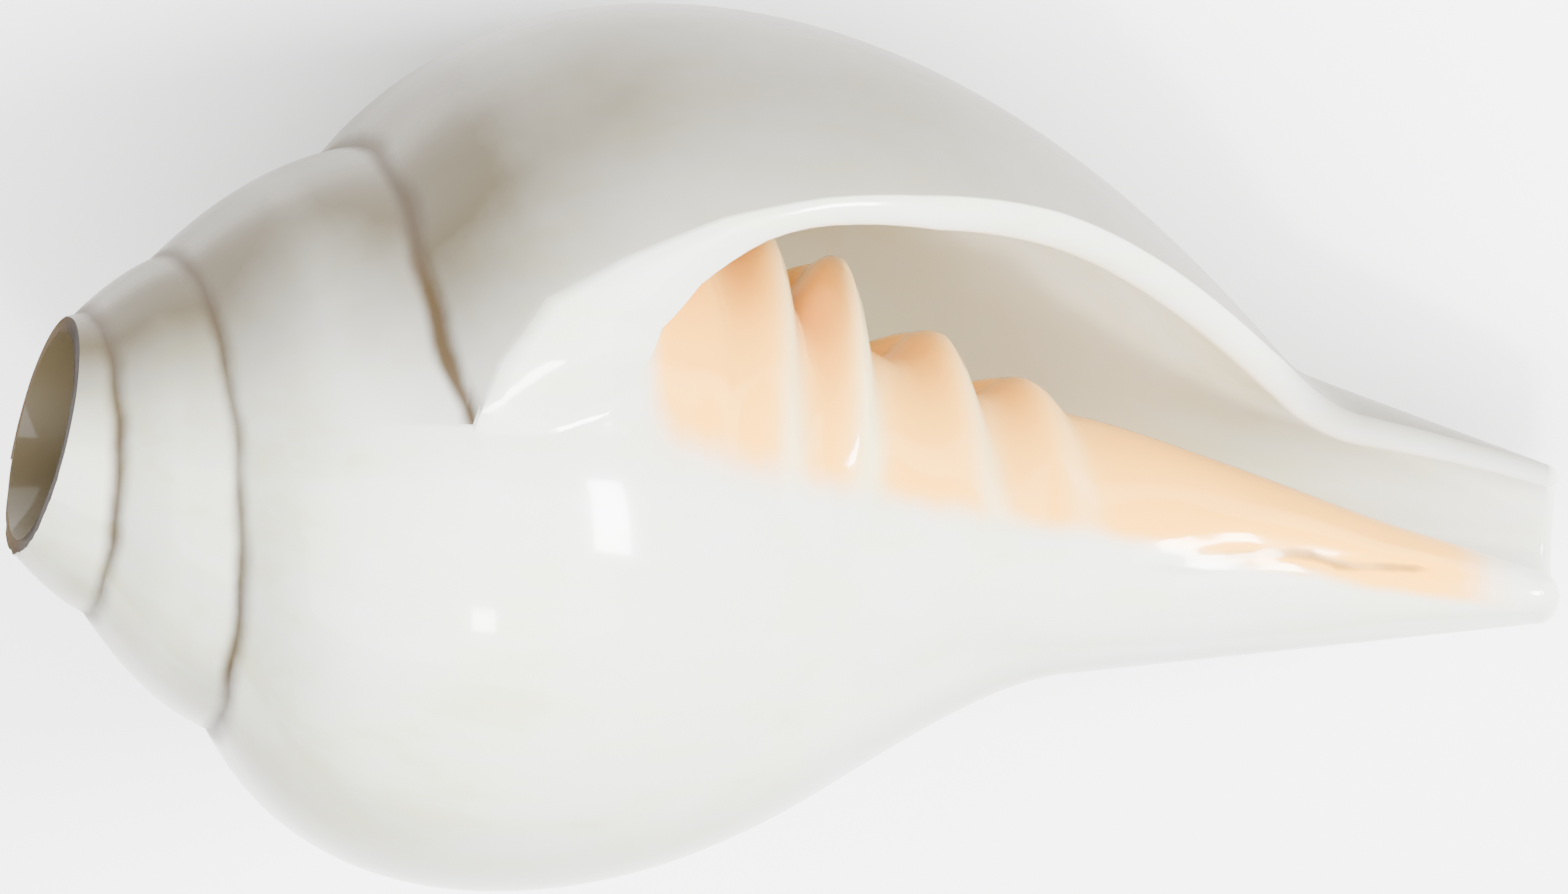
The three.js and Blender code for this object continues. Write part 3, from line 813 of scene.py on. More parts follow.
class ShellSurface:
    """The uncut shell as one closed set of shared vertices."""

    def __init__(self, mesher: Mesher, painting: Painting) -> None:
        """Builds every part of the surface.

        Args:
            mesher: The rows and columns to build it on.
            painting: Where its tints lie.
        """
        self.mesher = mesher
        self.painting = painting
        self.whorls = mesher.whorls
        self.points: list[Array] = []
        self.tints: dict[Tint, list[Array]] = {tint: [] for tint in Tint}
        self.faces: list[tuple[int, ...]] = []
        self.count = 0
        n, split = mesher.rows_per_turn, mesher.split
        self.seam, self.corner, self.tip = mesher.seam * split, mesher.corner * split, mesher.tip * split
        self.open_rows = round(self.whorls.open_turns * n)
        self.chamber_rows = round(mesher.chamber_turns * n)
        self.last_row = round(mesher.spire_turns * n)
        self.outer = self.make_outer()
        self.inner = self.make_inner()
        self.lip_edge = self.make_lip()
        self.make_tip()
        self.close_ends()

    def add(self, patch: Patch) -> Array:
        """Adds vertices to the surface.

        Args:
            patch: The points and tints to add.

        Returns:
            The new vertices' numbers, in the shape of the patch.
        """
        flat = patch.points.reshape(-1, 3)
        numbers = self.count + np.arange(len(flat))
        self.points.append(flat)
        for tint in Tint:
            value = patch.tints.get(tint, FAR_FROM_SEAMS if tint is Tint.SEAM else 0.0)
            self.tints[tint].append(np.broadcast_to(value, patch.points.shape[:-1]).reshape(-1))
        self.count += len(flat)
        return numbers.reshape(patch.points.shape[:-1])

    def all_points(self) -> Array:
        """Every point so far."""
        return np.concatenate(self.points)

    def add_faces(self, grid: Array, flipped: bool = False) -> None:
        """Adds the faces of a grid, as triangles where two corners are one.

        Args:
            grid: Vertex numbers by row and column, with -1 where there is none.
            flipped: Whether the faces look the other way.
        """
        here, back = grid[:-1], grid[1:]
        corners = [here[:, :-1], here[:, 1:], back[:, 1:], back[:, :-1]]
        if flipped:
            corners = [corners[0], *corners[:0:-1]]
        for face in np.stack(corners, axis=-1).reshape(-1, 4).tolist():
            kept = tuple(dict.fromkeys(face))
            if min(face) >= 0 and len(kept) > 2:
                self.faces.append(kept)

    def make_outer(self) -> Array:
        """The outer face of every whorl, the pillar included.

        Returns:
            Vertex numbers by row and column, with -1 where a wall covers the column.
        """
        mesher, whorls, n = self.mesher, self.whorls, self.mesher.rows_per_turn
        rows = np.arange(self.last_row + 1)
        turn = mesher.row_turns(len(rows))
        along = mesher.spread(mesher.outer_stations(turn))
        leaned = mesher.outer_turns(turn)
        points = whorls.place(along, leaned, whorls.outer_radius(along, leaned))
        columns = np.arange(self.tip + 1)
        covered = (columns > self.seam) & (columns < self.corner) & (rows[:, None] > n)
        beyond = (columns >= self.corner) & (rows[:, None] > self.chamber_rows + n)
        shared = (columns == 0) & (rows[:, None] + n <= self.last_row)
        used = ~(covered | beyond | shared)
        grid = np.full(used.shape, -1)
        grid[used] = self.add(Patch(points[used], self.outer_tints(along, leaned, used)))
        stitched = self.last_row + 1 - n
        grid[:stitched, 0] = grid[n:, self.seam]
        self.add_faces(grid)
        return grid

    def outer_tints(self, along: Array, turn: Array, used: Array) -> dict[Tint, Array]:
        """What the outer face is painted with.

        Args:
            along: The place of each vertex along the axis.
            turn: The turn of each vertex.
            used: Which vertices are real.

        Returns:
            The value of each tint at each real vertex.
        """
        paint = self.painting
        past_seam = np.arange(self.tip + 1) > self.seam
        past_edge = paint.blush_edge.rise(turn - self.whorls.glaze.edge(along))
        tints = {
            Tint.SEAM: self.seam_distance(along, turn, past_seam),
            Tint.BLUSH: past_edge * paint.blush_reach(along) * past_seam,
            # The hollow tint deep in the mouth: tan with painted shade.
            Tint.HOLLOW_TAN_AND_SHADE: paint.hollow_turns.rise(turn) * paint.hollow_end.fall(along) * past_seam,
            Tint.CREST: self.crest_lines(along, turn) * past_seam,
            # Painted shade on the outside.
            Tint.PAINTED_SHADE: self.painted_shading(along, turn, past_seam),
        }
        return {tint: value[used] for tint, value in tints.items()}

    def seam_distance(self, along: Array, turn: Array, past_seam: Array) -> Array:
        """How far each vertex lies from a suture, or from the groove along the flap.

        Args:
            along: The place of each vertex along the axis.
            turn: The turn of each vertex.
            past_seam: Which columns lie past the next whorl's suture.

        Returns:
            The distance in millimetres, a little more where the seam is worn.
        """
        paint, whorls = self.painting, self.whorls
        from_start = along - whorls.suture_along(turn)
        to_next = np.abs(whorls.suture_along(turn - 1) - along)
        to_next = np.where(turn > self.mesher.first_inside, to_next, FAR_FROM_SEAMS)
        seam_turn = np.where(from_start < to_next, turn, turn - 1)
        worn = paint.worn * paint.worn_turns.rise(seam_turn)
        seam = np.where(past_seam, FAR_FROM_SEAMS, np.minimum(from_start, to_next) + worn)
        across = np.abs(turn - whorls.flap_groove.course(along)) * paint.groove_narrowness
        lengthwise = (along - paint.groove_middle) / paint.groove_half
        groove = paint.groove_least + across**3 + lengthwise**6
        in_flap = paint.flap_along.holds(along) & paint.flap_turns.holds(turn)
        return np.where(in_flap, np.minimum(seam, groove), seam)

    def painted_shading(self, along: Array, turn: Array, past_seam: Array) -> Array:
        """How much painted shade the shell gets: on its upper side, underneath and beside the last suture.

        Args:
            along: The place of each vertex along the axis.
            turn: The turn of each vertex.
            past_seam: Which columns lie past the next whorl's suture.

        Returns:
            0 where no shade is painted, up to the darkest share.
        """
        paint = self.painting
        height = np.sin(2 * math.pi * turn)
        upper = paint.upper_side.rise(height) + paint.under_share * paint.under_side.rise(-height)
        covered = paint.covered_turns.rise(turn) * past_seam
        beside = paint.beside_along.fall(along - self.whorls.suture_along(turn))
        beside = beside * paint.beside_start.rise(turn) * paint.beside_end.fall(turn)
        shade = paint.upper_share * upper + paint.beside_share * beside
        return np.minimum(shade, paint.darkest) * (1 - covered)

    def crest_lines(self, along: Array, turn: Array) -> Array:
        """The pale lines that run over the crests of the folds.

        Args:
            along: The place of each vertex along the axis.
            turn: The turn of each vertex.

        Returns:
            1 on each crest, fading to 0 beside it.
        """
        paint = self.painting
        lines = np.zeros(along.shape)
        for fold in self.whorls.folds[1:]:
            offset = (along - self.whorls.crest_along(fold, turn)) / self.whorls.fold_scale(turn)
            across = (offset - paint.crest_offset) / paint.crest_width
            lines = np.maximum(lines, np.exp(-(across**2)) * fold.height / paint.crest_height)
        return lines

    def make_inner(self) -> Array:
        """The inner face of the wall round the chamber.

        Returns:
            Vertex numbers by row and column, shared with the pillar at both ends.
        """
        mesher, whorls, n = self.mesher, self.whorls, self.mesher.rows_per_turn
        paint = self.painting
        rows = np.arange(self.chamber_rows + 1)
        turn = mesher.row_turns(len(rows))
        along = mesher.spread(mesher.inner_stations(turn))
        leaned = mesher.inner_turns(turn)
        columns = np.arange(self.tip + 1) / mesher.split
        fillet = lerp(mesher.lip.fillet, mesher.lip.facing, mesher.pad_left(turn))[:, None]
        rise = smoothstep(0, fillet, columns)
        floor = whorls.outer_radius(along, leaned + 1)
        radius = lerp(floor, whorls.inner_radius(along, leaned), rise)
        # The hollow tint, the inside's tan with painted shade, starts behind the lip and fades out in the
        # canal.
        behind_lip = leaned - mesher.inner_turns(np.array([whorls.lip_turn]))
        in_canal = paint.canal_along.rise(along) * paint.canal_turns.fall(turn)[:, None]
        hollow = paint.hollow_behind_lip.rise(behind_lip) * (1 - in_canal)
        blush = paint.blush_reach(along) * paint.blush_on_wall.fall(rise)
        used = np.ones(radius.shape, bool)
        used[:, 0] = False
        used[self.open_rows :, -1] = False
        grid = np.full(used.shape, -1)
        points = whorls.place(along, leaned, radius)
        tints = {Tint.HOLLOW_TAN_AND_SHADE: hollow[used], Tint.BLUSH: blush[used]}
        grid[used] = self.add(Patch(points[used], tints))
        pillar = self.outer[n : n + self.chamber_rows + 1]
        grid[:, 0] = pillar[:, self.corner]
        grid[self.open_rows :, -1] = pillar[self.open_rows :, self.tip]
        self.add_faces(grid, flipped=True)
        return grid

    def edge_line(
        self, start: Array, end: Array, direction: Array, depth: float, bend: Array, bending: float
    ) -> Array:
        """The points of a rounded edge between two ends, bulging along a direction.

        Args:
            start: The first end.
            end: The other end.
            direction: The way it bulges.
            depth: How far it bulges, in millimetres.
            bend: The pad foot's own shape, which the edge takes near the seam.
            bending: How much of that shape it takes.

        Returns:
            The points between the ends.
        """
        steps = len(bend) - 1
        k = np.arange(1, steps)[:, None]
        angle = math.pi * k / steps
        share = lerp((1 - np.cos(angle)) / 2, k / steps, bending)
        return lerp(start, end, share) + depth * np.sin(angle) * direction + bend[1:-1] * bending

    def make_lip(self) -> Array:
        """The lip's edge, which bulges the way the shell grows.

        Returns:
            The vertex numbers of its last line, at the tip.
        """
        mesher, lip, paint = self.mesher, self.mesher.lip, self.painting
        points = self.all_points()
        foot = self.outer[mesher.rows_per_turn, self.seam : self.corner + 1]
        steps = len(foot) - 1
        across = np.arange(1, steps) / steps
        straight = lerp(points[foot[0]], points[foot[-1]], np.arange(steps + 1)[:, None] / steps)
        bend = points[foot] - straight
        behind = mesher.growth_rows
        lines = [foot]
        for column in range(1, self.tip + 1):
            coarse = column / mesher.split
            start, end = self.outer[0, column], self.inner[0, column]
            growth = points[start] - points[self.outer[behind, column]]
            growth = growth + points[end] - points[self.inner[behind, column]]
            growth /= np.linalg.norm(growth)
            width = float(np.linalg.norm(points[end] - points[start]))
            edge = float(smoothstep(0, lip.pad_bending, coarse))
            pad_depth = lip.pad_bulge * width * float(smoothstep(0, lip.pad_start, coarse))
            depth = lerp(pad_depth, min(width / 2, lip.rounding), edge)
            between = self.edge_line(points[start], points[end], growth, depth, bend, 1 - edge)
            # Painted shade on the lip's edge towards the tip, fading across the edge.
            shade = paint.lip_shade * float(paint.lip_shade_along.rise(points[start][0])) * (1 - across)
            blush = paint.blush_reach(between[:, 0]) * paint.blush_on_lip.rise(across) * (1 - edge)
            numbers = self.add(Patch(between, {Tint.BLUSH: blush, Tint.PAINTED_SHADE: shade}))
            lines.append(np.concatenate([[start], numbers, [end]]))
        grid = np.stack(lines)
        self.add_faces(grid)
        return grid[-1]

    def make_tip(self) -> None:
        """The tip's end: a crescent from the lip round the canal, closing at the pillar's edge."""
        n = self.mesher.rows_per_turn
        points = self.all_points()
        outwards = np.array([1.0, 0.0, 0.0])
        no_bend = np.zeros((len(self.lip_edge), 3))
        lines = [self.lip_edge]
        last = self.open_rows + n // 2
        for row in range(1, last + 1):
            start = self.outer[row, self.tip]
            opposite = self.outer[n + 2 * self.open_rows - row, self.tip]
            end = self.inner[row, self.tip] if row <= self.open_rows else opposite
            if start == end:
                lines.append(np.full(len(self.lip_edge), start))
                continue
            width = float(np.linalg.norm(points[end] - points[start]))
            depth = min(width / 2, self.whorls.tip_rounding)
            between = self.edge_line(points[start], points[end], outwards, depth, no_bend, 0.0)
            lines.append(np.concatenate([[start], self.add(Patch(between)), [end]]))
        self.add_faces(np.stack(lines))

    def close_ends(self) -> None:
        """Closes the chamber's blind end and the uncut point of the spire."""
        n = self.mesher.rows_per_turn
        pillar = self.outer[self.chamber_rows + n, self.corner :]
        wall = self.inner[self.chamber_rows]
        self.faces.append(tuple(wall[1:-1].tolist()[::-1]) + tuple(pillar.tolist()))
        apex = int(self.add(Patch(np.array([[self.whorls.apex_along, 0.0, 0.0]])))[0])
        first = self.last_row - n
        edge = [*self.outer[first:, 0].tolist(), *self.outer[self.last_row, 1 : self.seam + 1].tolist()]
        for here, after in zip(edge[:-1], edge[1:]):
            self.faces.append((here, after, apex))


@dataclass(frozen=True)
class Rest:
    """How the shell lies: rolled about its axis, the canal's end a little lower, on a small flat."""

    roll: float = -29.67
    pitch: float = 14.54
    flat: float = 0.48

    def turning(self) -> Array:
        """The matrix that turns the shell's own frame to the row frame."""
        roll = Matrix.Rotation(math.radians(self.roll), 3, "X")
        pitch = Matrix.Rotation(math.radians(self.pitch), 3, "Y")
        return np.array(pitch @ roll)


@dataclass(frozen=True)
class Opening:
    """The sawn plane and the bore that opens the chamber's end, in millimetres."""

    along: float = 0.07
    slant: float = 0.155
    bore_radius: float = 10.1
    taper: float = 0.15
    depth: float = 24.0
    lead: float = 5.0
    lift: float = 1.4
    sides: int = 96
    rim_snap: float = 0.25
    touch: float = 0.02
    saw_reach: float = 60.0


class Value:
    """A shader socket that takes part in sums. Each operation adds one Math node."""

    def __init__(self, graph: "Graph", socket: bpy.types.NodeSocket) -> None:
        """Wraps a socket.

        Args:
            graph: The material's nodes.
            socket: The output socket.
        """
        self.graph = graph
        self.socket = socket

    def _math(self, operation: str, *values: Any, clamp: bool = False) -> "Value":
        """One Math node.

        Args:
            operation: The node's operation.
            *values: Its inputs, in order.
            clamp: Whether the result is held between 0 and 1.

        Returns:
            The node's result.
        """
        settings = {"operation": operation, "use_clamp": clamp}
        return self.graph.value("ShaderNodeMath", settings, dict(enumerate(values)))

    def __add__(self, other: Any) -> "Value":
        """The sum."""
        return self._math("ADD", self, other)

    __radd__ = __add__

    def __sub__(self, other: Any) -> "Value":
        """The difference."""
        return self._math("SUBTRACT", self, other)

    def __rsub__(self, other: Any) -> "Value":
        """The difference, the other way round."""
        return self._math("SUBTRACT", other, self)

    def __mul__(self, other: Any) -> "Value":
        """The product."""
        return self._math("MULTIPLY", self, other)

    __rmul__ = __mul__

    def strayed(self, noise: "Value", reach: float) -> "Value":
        """The value, moved up or down by a noise, at most half the reach either way."""
        return self + noise * reach - reach / 2

    def held(self) -> "Value":
        """The value held between 0 and 1."""
        return self._math("ADD", self, 0.0, clamp=True)

    def rise(self, low: float, high: float) -> "Value":
        """A smooth rise from 0 at low to 1 at high."""
        settings = {"interpolation_type": "SMOOTHSTEP"}
        inputs = {"Value": self, "From Min": low, "From Max": high}
        return self.graph.value("ShaderNodeMapRange", settings, inputs)


class Graph:
    """The nodes of one material."""

    def __init__(self, name: str) -> None:
        """Starts an empty material.

        Args:
            name: The material's name.
        """
        self.material = bpy.data.materials.new(name)
        self.material.use_nodes = True
        self.tree = self.material.node_tree
        self.tree.nodes.clear()

    def node(self, kind: str, settings: dict[str, Any], inputs: dict[Any, Any]) -> bpy.types.Node:
        """Adds a node.

        Args:
            kind: The node's type.
            settings: Its settings, which are set first.
            inputs: Values or links by socket name or number.

        Returns:
            The new node.
        """
        made = self.tree.nodes.new(kind)
        for key, setting in settings.items():
            setattr(made, key, setting)
        for key, given in inputs.items():
            if isinstance(given, Value):
                given = given.socket
            if isinstance(given, bpy.types.NodeSocket):
                self.tree.links.new(given, made.inputs[key])
            else:
                made.inputs[key].default_value = given
        return made

    def value(self, kind: str, settings: dict[str, Any], inputs: dict[Any, Any], output: Any = 0) -> Value:
        """Adds a node and wraps one of its outputs."""
        return Value(self, self.node(kind, settings, inputs).outputs[output])

    def attribute(self, name: str, output: str = "Fac") -> Value:
        """Reads a mesh attribute."""
        return self.value("ShaderNodeAttribute", {"attribute_name": name}, {}, output)

    def mix(self, factor: Any, first: Any, second: Any) -> bpy.types.NodeSocket:
        """Mixes two colours.

        Args:
            factor: 0 for the first, 1 for the second.
            first: A colour or a colour socket.
            second: A colour or a colour socket.

        Returns:
            The mixed colour's socket.
        """
        made = self.node("ShaderNodeMix", {"data_type": "RGBA"}, {0: factor, 6: first, 7: second})
        return made.outputs[2]

    def scaled(self, vector: Value, scale: tuple[float, float, float]) -> Value:
        """A vector with each part multiplied."""
        return self.value("ShaderNodeVectorMath", {"operation": "MULTIPLY"}, {0: vector, 1: scale})

    def noise(self, vector: Value, scale: float, detail: float = 3.0, roughness: float = 0.5) -> Value:
        """A cloudy pattern from 0 to 1."""
        inputs = {"Vector": vector, "Scale": scale, "Detail": detail, "Roughness": roughness}
        return self.value("ShaderNodeTexNoise", {}, inputs)

    def finish(self, shader: bpy.types.Node) -> bpy.types.Material:
        """Links the shader to the material's output.

        Args:
            shader: The last shader node.

        Returns:
            The material.
        """
        self.node("ShaderNodeOutputMaterial", {}, {"Surface": shader.outputs[0]})
        return self.material


@dataclass(frozen=True)
class Porcelain:
    """The polished shell: white, blushed on the pillar, tan in its seams and its hollow, with painted
    shade above, underneath, beside the sutures, in the hollow and in the bore.
    """

    white: Colour = (0.63, 0.64, 0.61, 1)
    cream: Colour = (0.58, 0.59, 0.39, 1)
    # Painted shade colour, mixed over the white where the shade tint lies and beside the sutures.
    shade: Colour = (0.065, 0.048, 0.018, 1)
    blush: Colour = (0.98, 0.46, 0.05, 1)
    crest: Colour = (0.7, 0.72, 0.46, 1)
    seam: Colour = (0.045, 0.026, 0.008, 1)
    # The hollow's colour: the inside's tan with painted shade.
    hollow: Colour = (0.68, 0.6, 0.38, 1)
    # The bore's wall: brown, darkened as painted shade inside the hole.
    bore: Colour = (0.085, 0.066, 0.035, 1)
    sawn: Colour = (0.06, 0.036, 0.013, 1)
    sawn_dark: Colour = (0.012, 0.006, 0.002, 1)
    cloud_scale: float = 0.045
    cloud_share: float = 0.6
    band_stretch: tuple[float, float, float] = (0.02, 0.35, 0.35)
    cream_reach: tuple[float, float] = (0.35, 0.75)
    grain_scale: float = 1.4
    ragged_stretch: tuple[float, float, float] = (0.25, 0.12, 0.12)
    blush_ragged: float = 0.4
    blush_reach: tuple[float, float] = (0.15, 0.9)
    crest_share: float = 0.75
    # How the painted shade is frayed by clouds, and its band beside the sutures.
    shade_cloudy: float = 0.2
    beside_ragged: float = 4.0
    beside_width: float = 13.0
    beside_share: float = 0.22
    # How much of the hollow's tan and painted shade is laid on.
    hollow_share: float = 0.8
    line_ragged: float = 1.2
    line_width: float = 1.6
    line_share: float = 0.97
    sawn_dark_reach: tuple[float, float] = (-7.0, 6.0)
    roughness: float = 0.15
    line_roughness: float = 0.3
    sawn_roughness: float = 0.6
    shade_roughness: float = 0.12
    coat: float = 0.25
    coat_roughness: float = 0.05
    coat_lost_in_shade: float = 0.9
    refraction: float = 1.53
    specular: float = 0.2
    bump_strength: float = 0.12
    bump_depth: float = 0.0004
    bump_shares: tuple[float, float, float] = (0.7, 0.3, 0.05)

    def material(self) -> bpy.types.Material:
        """Builds the material.

        Returns:
            The shell's material.
        """
        graph = Graph("polished_shell")
        place = graph.attribute("shell_mm", "Vector")
        cloud = graph.noise(place, self.cloud_scale, 4.0, 0.55)
        bands = graph.noise(graph.scaled(place, self.band_stretch), 1.0)
        grain = graph.noise(place, self.grain_scale, 2.0)
        ragged = graph.noise(graph.scaled(place, self.ragged_stretch), 1.0)
        seam = graph.attribute(Tint.SEAM.value)
        # The painted shade tint, which also roughens the surface and thins its coat.
        shade = graph.attribute(Tint.PAINTED_SHADE.value)
        sawn = graph.attribute("sawn")
        stain = 1 - seam.strayed(ragged, self.line_ragged).rise(0.0, self.line_width)
        white = self.whites_and_painted_shade(graph, cloud, bands, ragged)
        base = self.colour(graph, white, ragged, stain)
        by_band, by_cloud, by_grain = self.bump_shares
        height = bands * by_band + cloud * by_cloud + grain * by_grain
        relief = {"Strength": self.bump_strength, "Distance": self.bump_depth, "Height": height}
        inputs = {
            "Base Color": graph.mix(sawn, base, self.sawn_colour(graph, place, ragged)),
            "Roughness": self.roughness
            + stain * self.line_roughness
            + sawn * self.sawn_roughness
            + shade * self.shade_roughness,
            "Normal": graph.node("ShaderNodeBump", {}, relief).outputs[0],
            "Coat Weight": ((1 - sawn - shade * self.coat_lost_in_shade) * self.coat).held(),
            "Coat Roughness": self.coat_roughness,
            "IOR": self.refraction,
            "Specular IOR Level": self.specular,
        }
        return graph.finish(graph.node("ShaderNodeBsdfPrincipled", {}, inputs))

    def whites_and_painted_shade(self, graph: Graph, cloud: Value, bands: Value, ragged: Value) -> bpy.types.NodeSocket:
        """The white of the outside, creamy in clouds, with painted shade above, underneath and beside the
        sutures.

        Args:
            graph: The material's nodes.
            cloud: Broad, soft mottling.
            bands: Mottling drawn out along the axis.
            ragged: The noise that frays the edges of stains.

        Returns:
            The colour.
        """
        mottled = cloud * self.cloud_share + bands * (1 - self.cloud_share)
        body = graph.mix(mottled.rise(*self.cream_reach), self.white, self.cream)
        # Painted shade: the shade tint and a band beside each suture darken the white towards the shade
        # colour.
        seam = graph.attribute(Tint.SEAM.value).strayed(ragged, self.beside_ragged)
        beside = (1 - seam.rise(0.0, self.beside_width)) * self.beside_share
        shade_amount = (graph.attribute(Tint.PAINTED_SHADE.value) + beside).strayed(cloud, self.shade_cloudy)
        return graph.mix(shade_amount.held(), body, self.shade)

    def colour(
        self, graph: Graph, white: bpy.types.NodeSocket, ragged: Value, stain: Value
    ) -> bpy.types.NodeSocket:
        """The white with the blush, the hollow's tan with painted shade, the stained seams and the bored
        wall, whose dark brown is partly painted shade.

        Args:
            graph: The material's nodes.
            white: The colour of the outside, with its painted shade.
            ragged: The noise that frays the edges of stains.
            stain: 1 in the seams, 0 away from them.

        Returns:
            The colour.
        """
        crest = graph.attribute(Tint.CREST.value) * self.crest_share
        flesh = graph.mix(crest, self.blush, self.crest)
        blush = graph.attribute(Tint.BLUSH.value).strayed(ragged, self.blush_ragged)
        coloured = graph.mix(blush.rise(*self.blush_reach), white, flesh)
        # The hollow's tan with painted shade.
        hollow = graph.attribute(Tint.HOLLOW_TAN_AND_SHADE.value) * self.hollow_share
        lined = graph.mix(stain * self.line_share, graph.mix(hollow, coloured, self.hollow), self.seam)
        # The bored wall's brown with painted shade of the hole.
        return graph.mix(graph.attribute("bored"), lined, self.bore)

    def sawn_colour(self, graph: Graph, place: Value, ragged: Value) -> bpy.types.NodeSocket:
        """The brown of the sawn rim, darker towards the side with the mouth.

        Args:
            graph: The material's nodes.
            place: The place in the shell's own frame.
            ragged: The noise that frays the edges of stains.

        Returns:
            The colour.
        """
        front = graph.value("ShaderNodeSeparateXYZ", {}, {0: place}, 2)
        dark = front.strayed(ragged, self.beside_ragged).rise(*self.sawn_dark_reach)
        return graph.mix(dark, self.sawn, self.sawn_dark)


def mesh_object(name: str, points: Array, faces: Sequence[tuple[int, ...]]) -> bpy.types.Object:
    """A new mesh object in the scene.

    Args:
        name: The object's name.
        points: Its vertices.
        faces: Its faces.

    Returns:
        The object.
    """
    mesh = bpy.data.meshes.new(name)
    mesh.from_pydata(points.tolist(), [], faces)
    mesh.update()
    made = bpy.data.objects.new(name, mesh)
    bpy.context.scene.collection.objects.link(made)
    return made


def store(mesh: bpy.types.Mesh, name: str, domain: str, values: Array) -> None:
    """Stores one number for each vertex or face."""
    mesh.attributes.new(name, "FLOAT", domain).data.foreach_set("value", values.astype(np.float32))


def vertex_places(mesh: bpy.types.Mesh) -> Array:
    """Reads where a mesh's vertices are.

    Args:
        mesh: The mesh.

    Returns:
        One row for each vertex.
    """
    places = np.zeros(len(mesh.vertices) * 3, np.float32)
    mesh.vertices.foreach_get("co", places)
    return places.reshape(-1, 3)


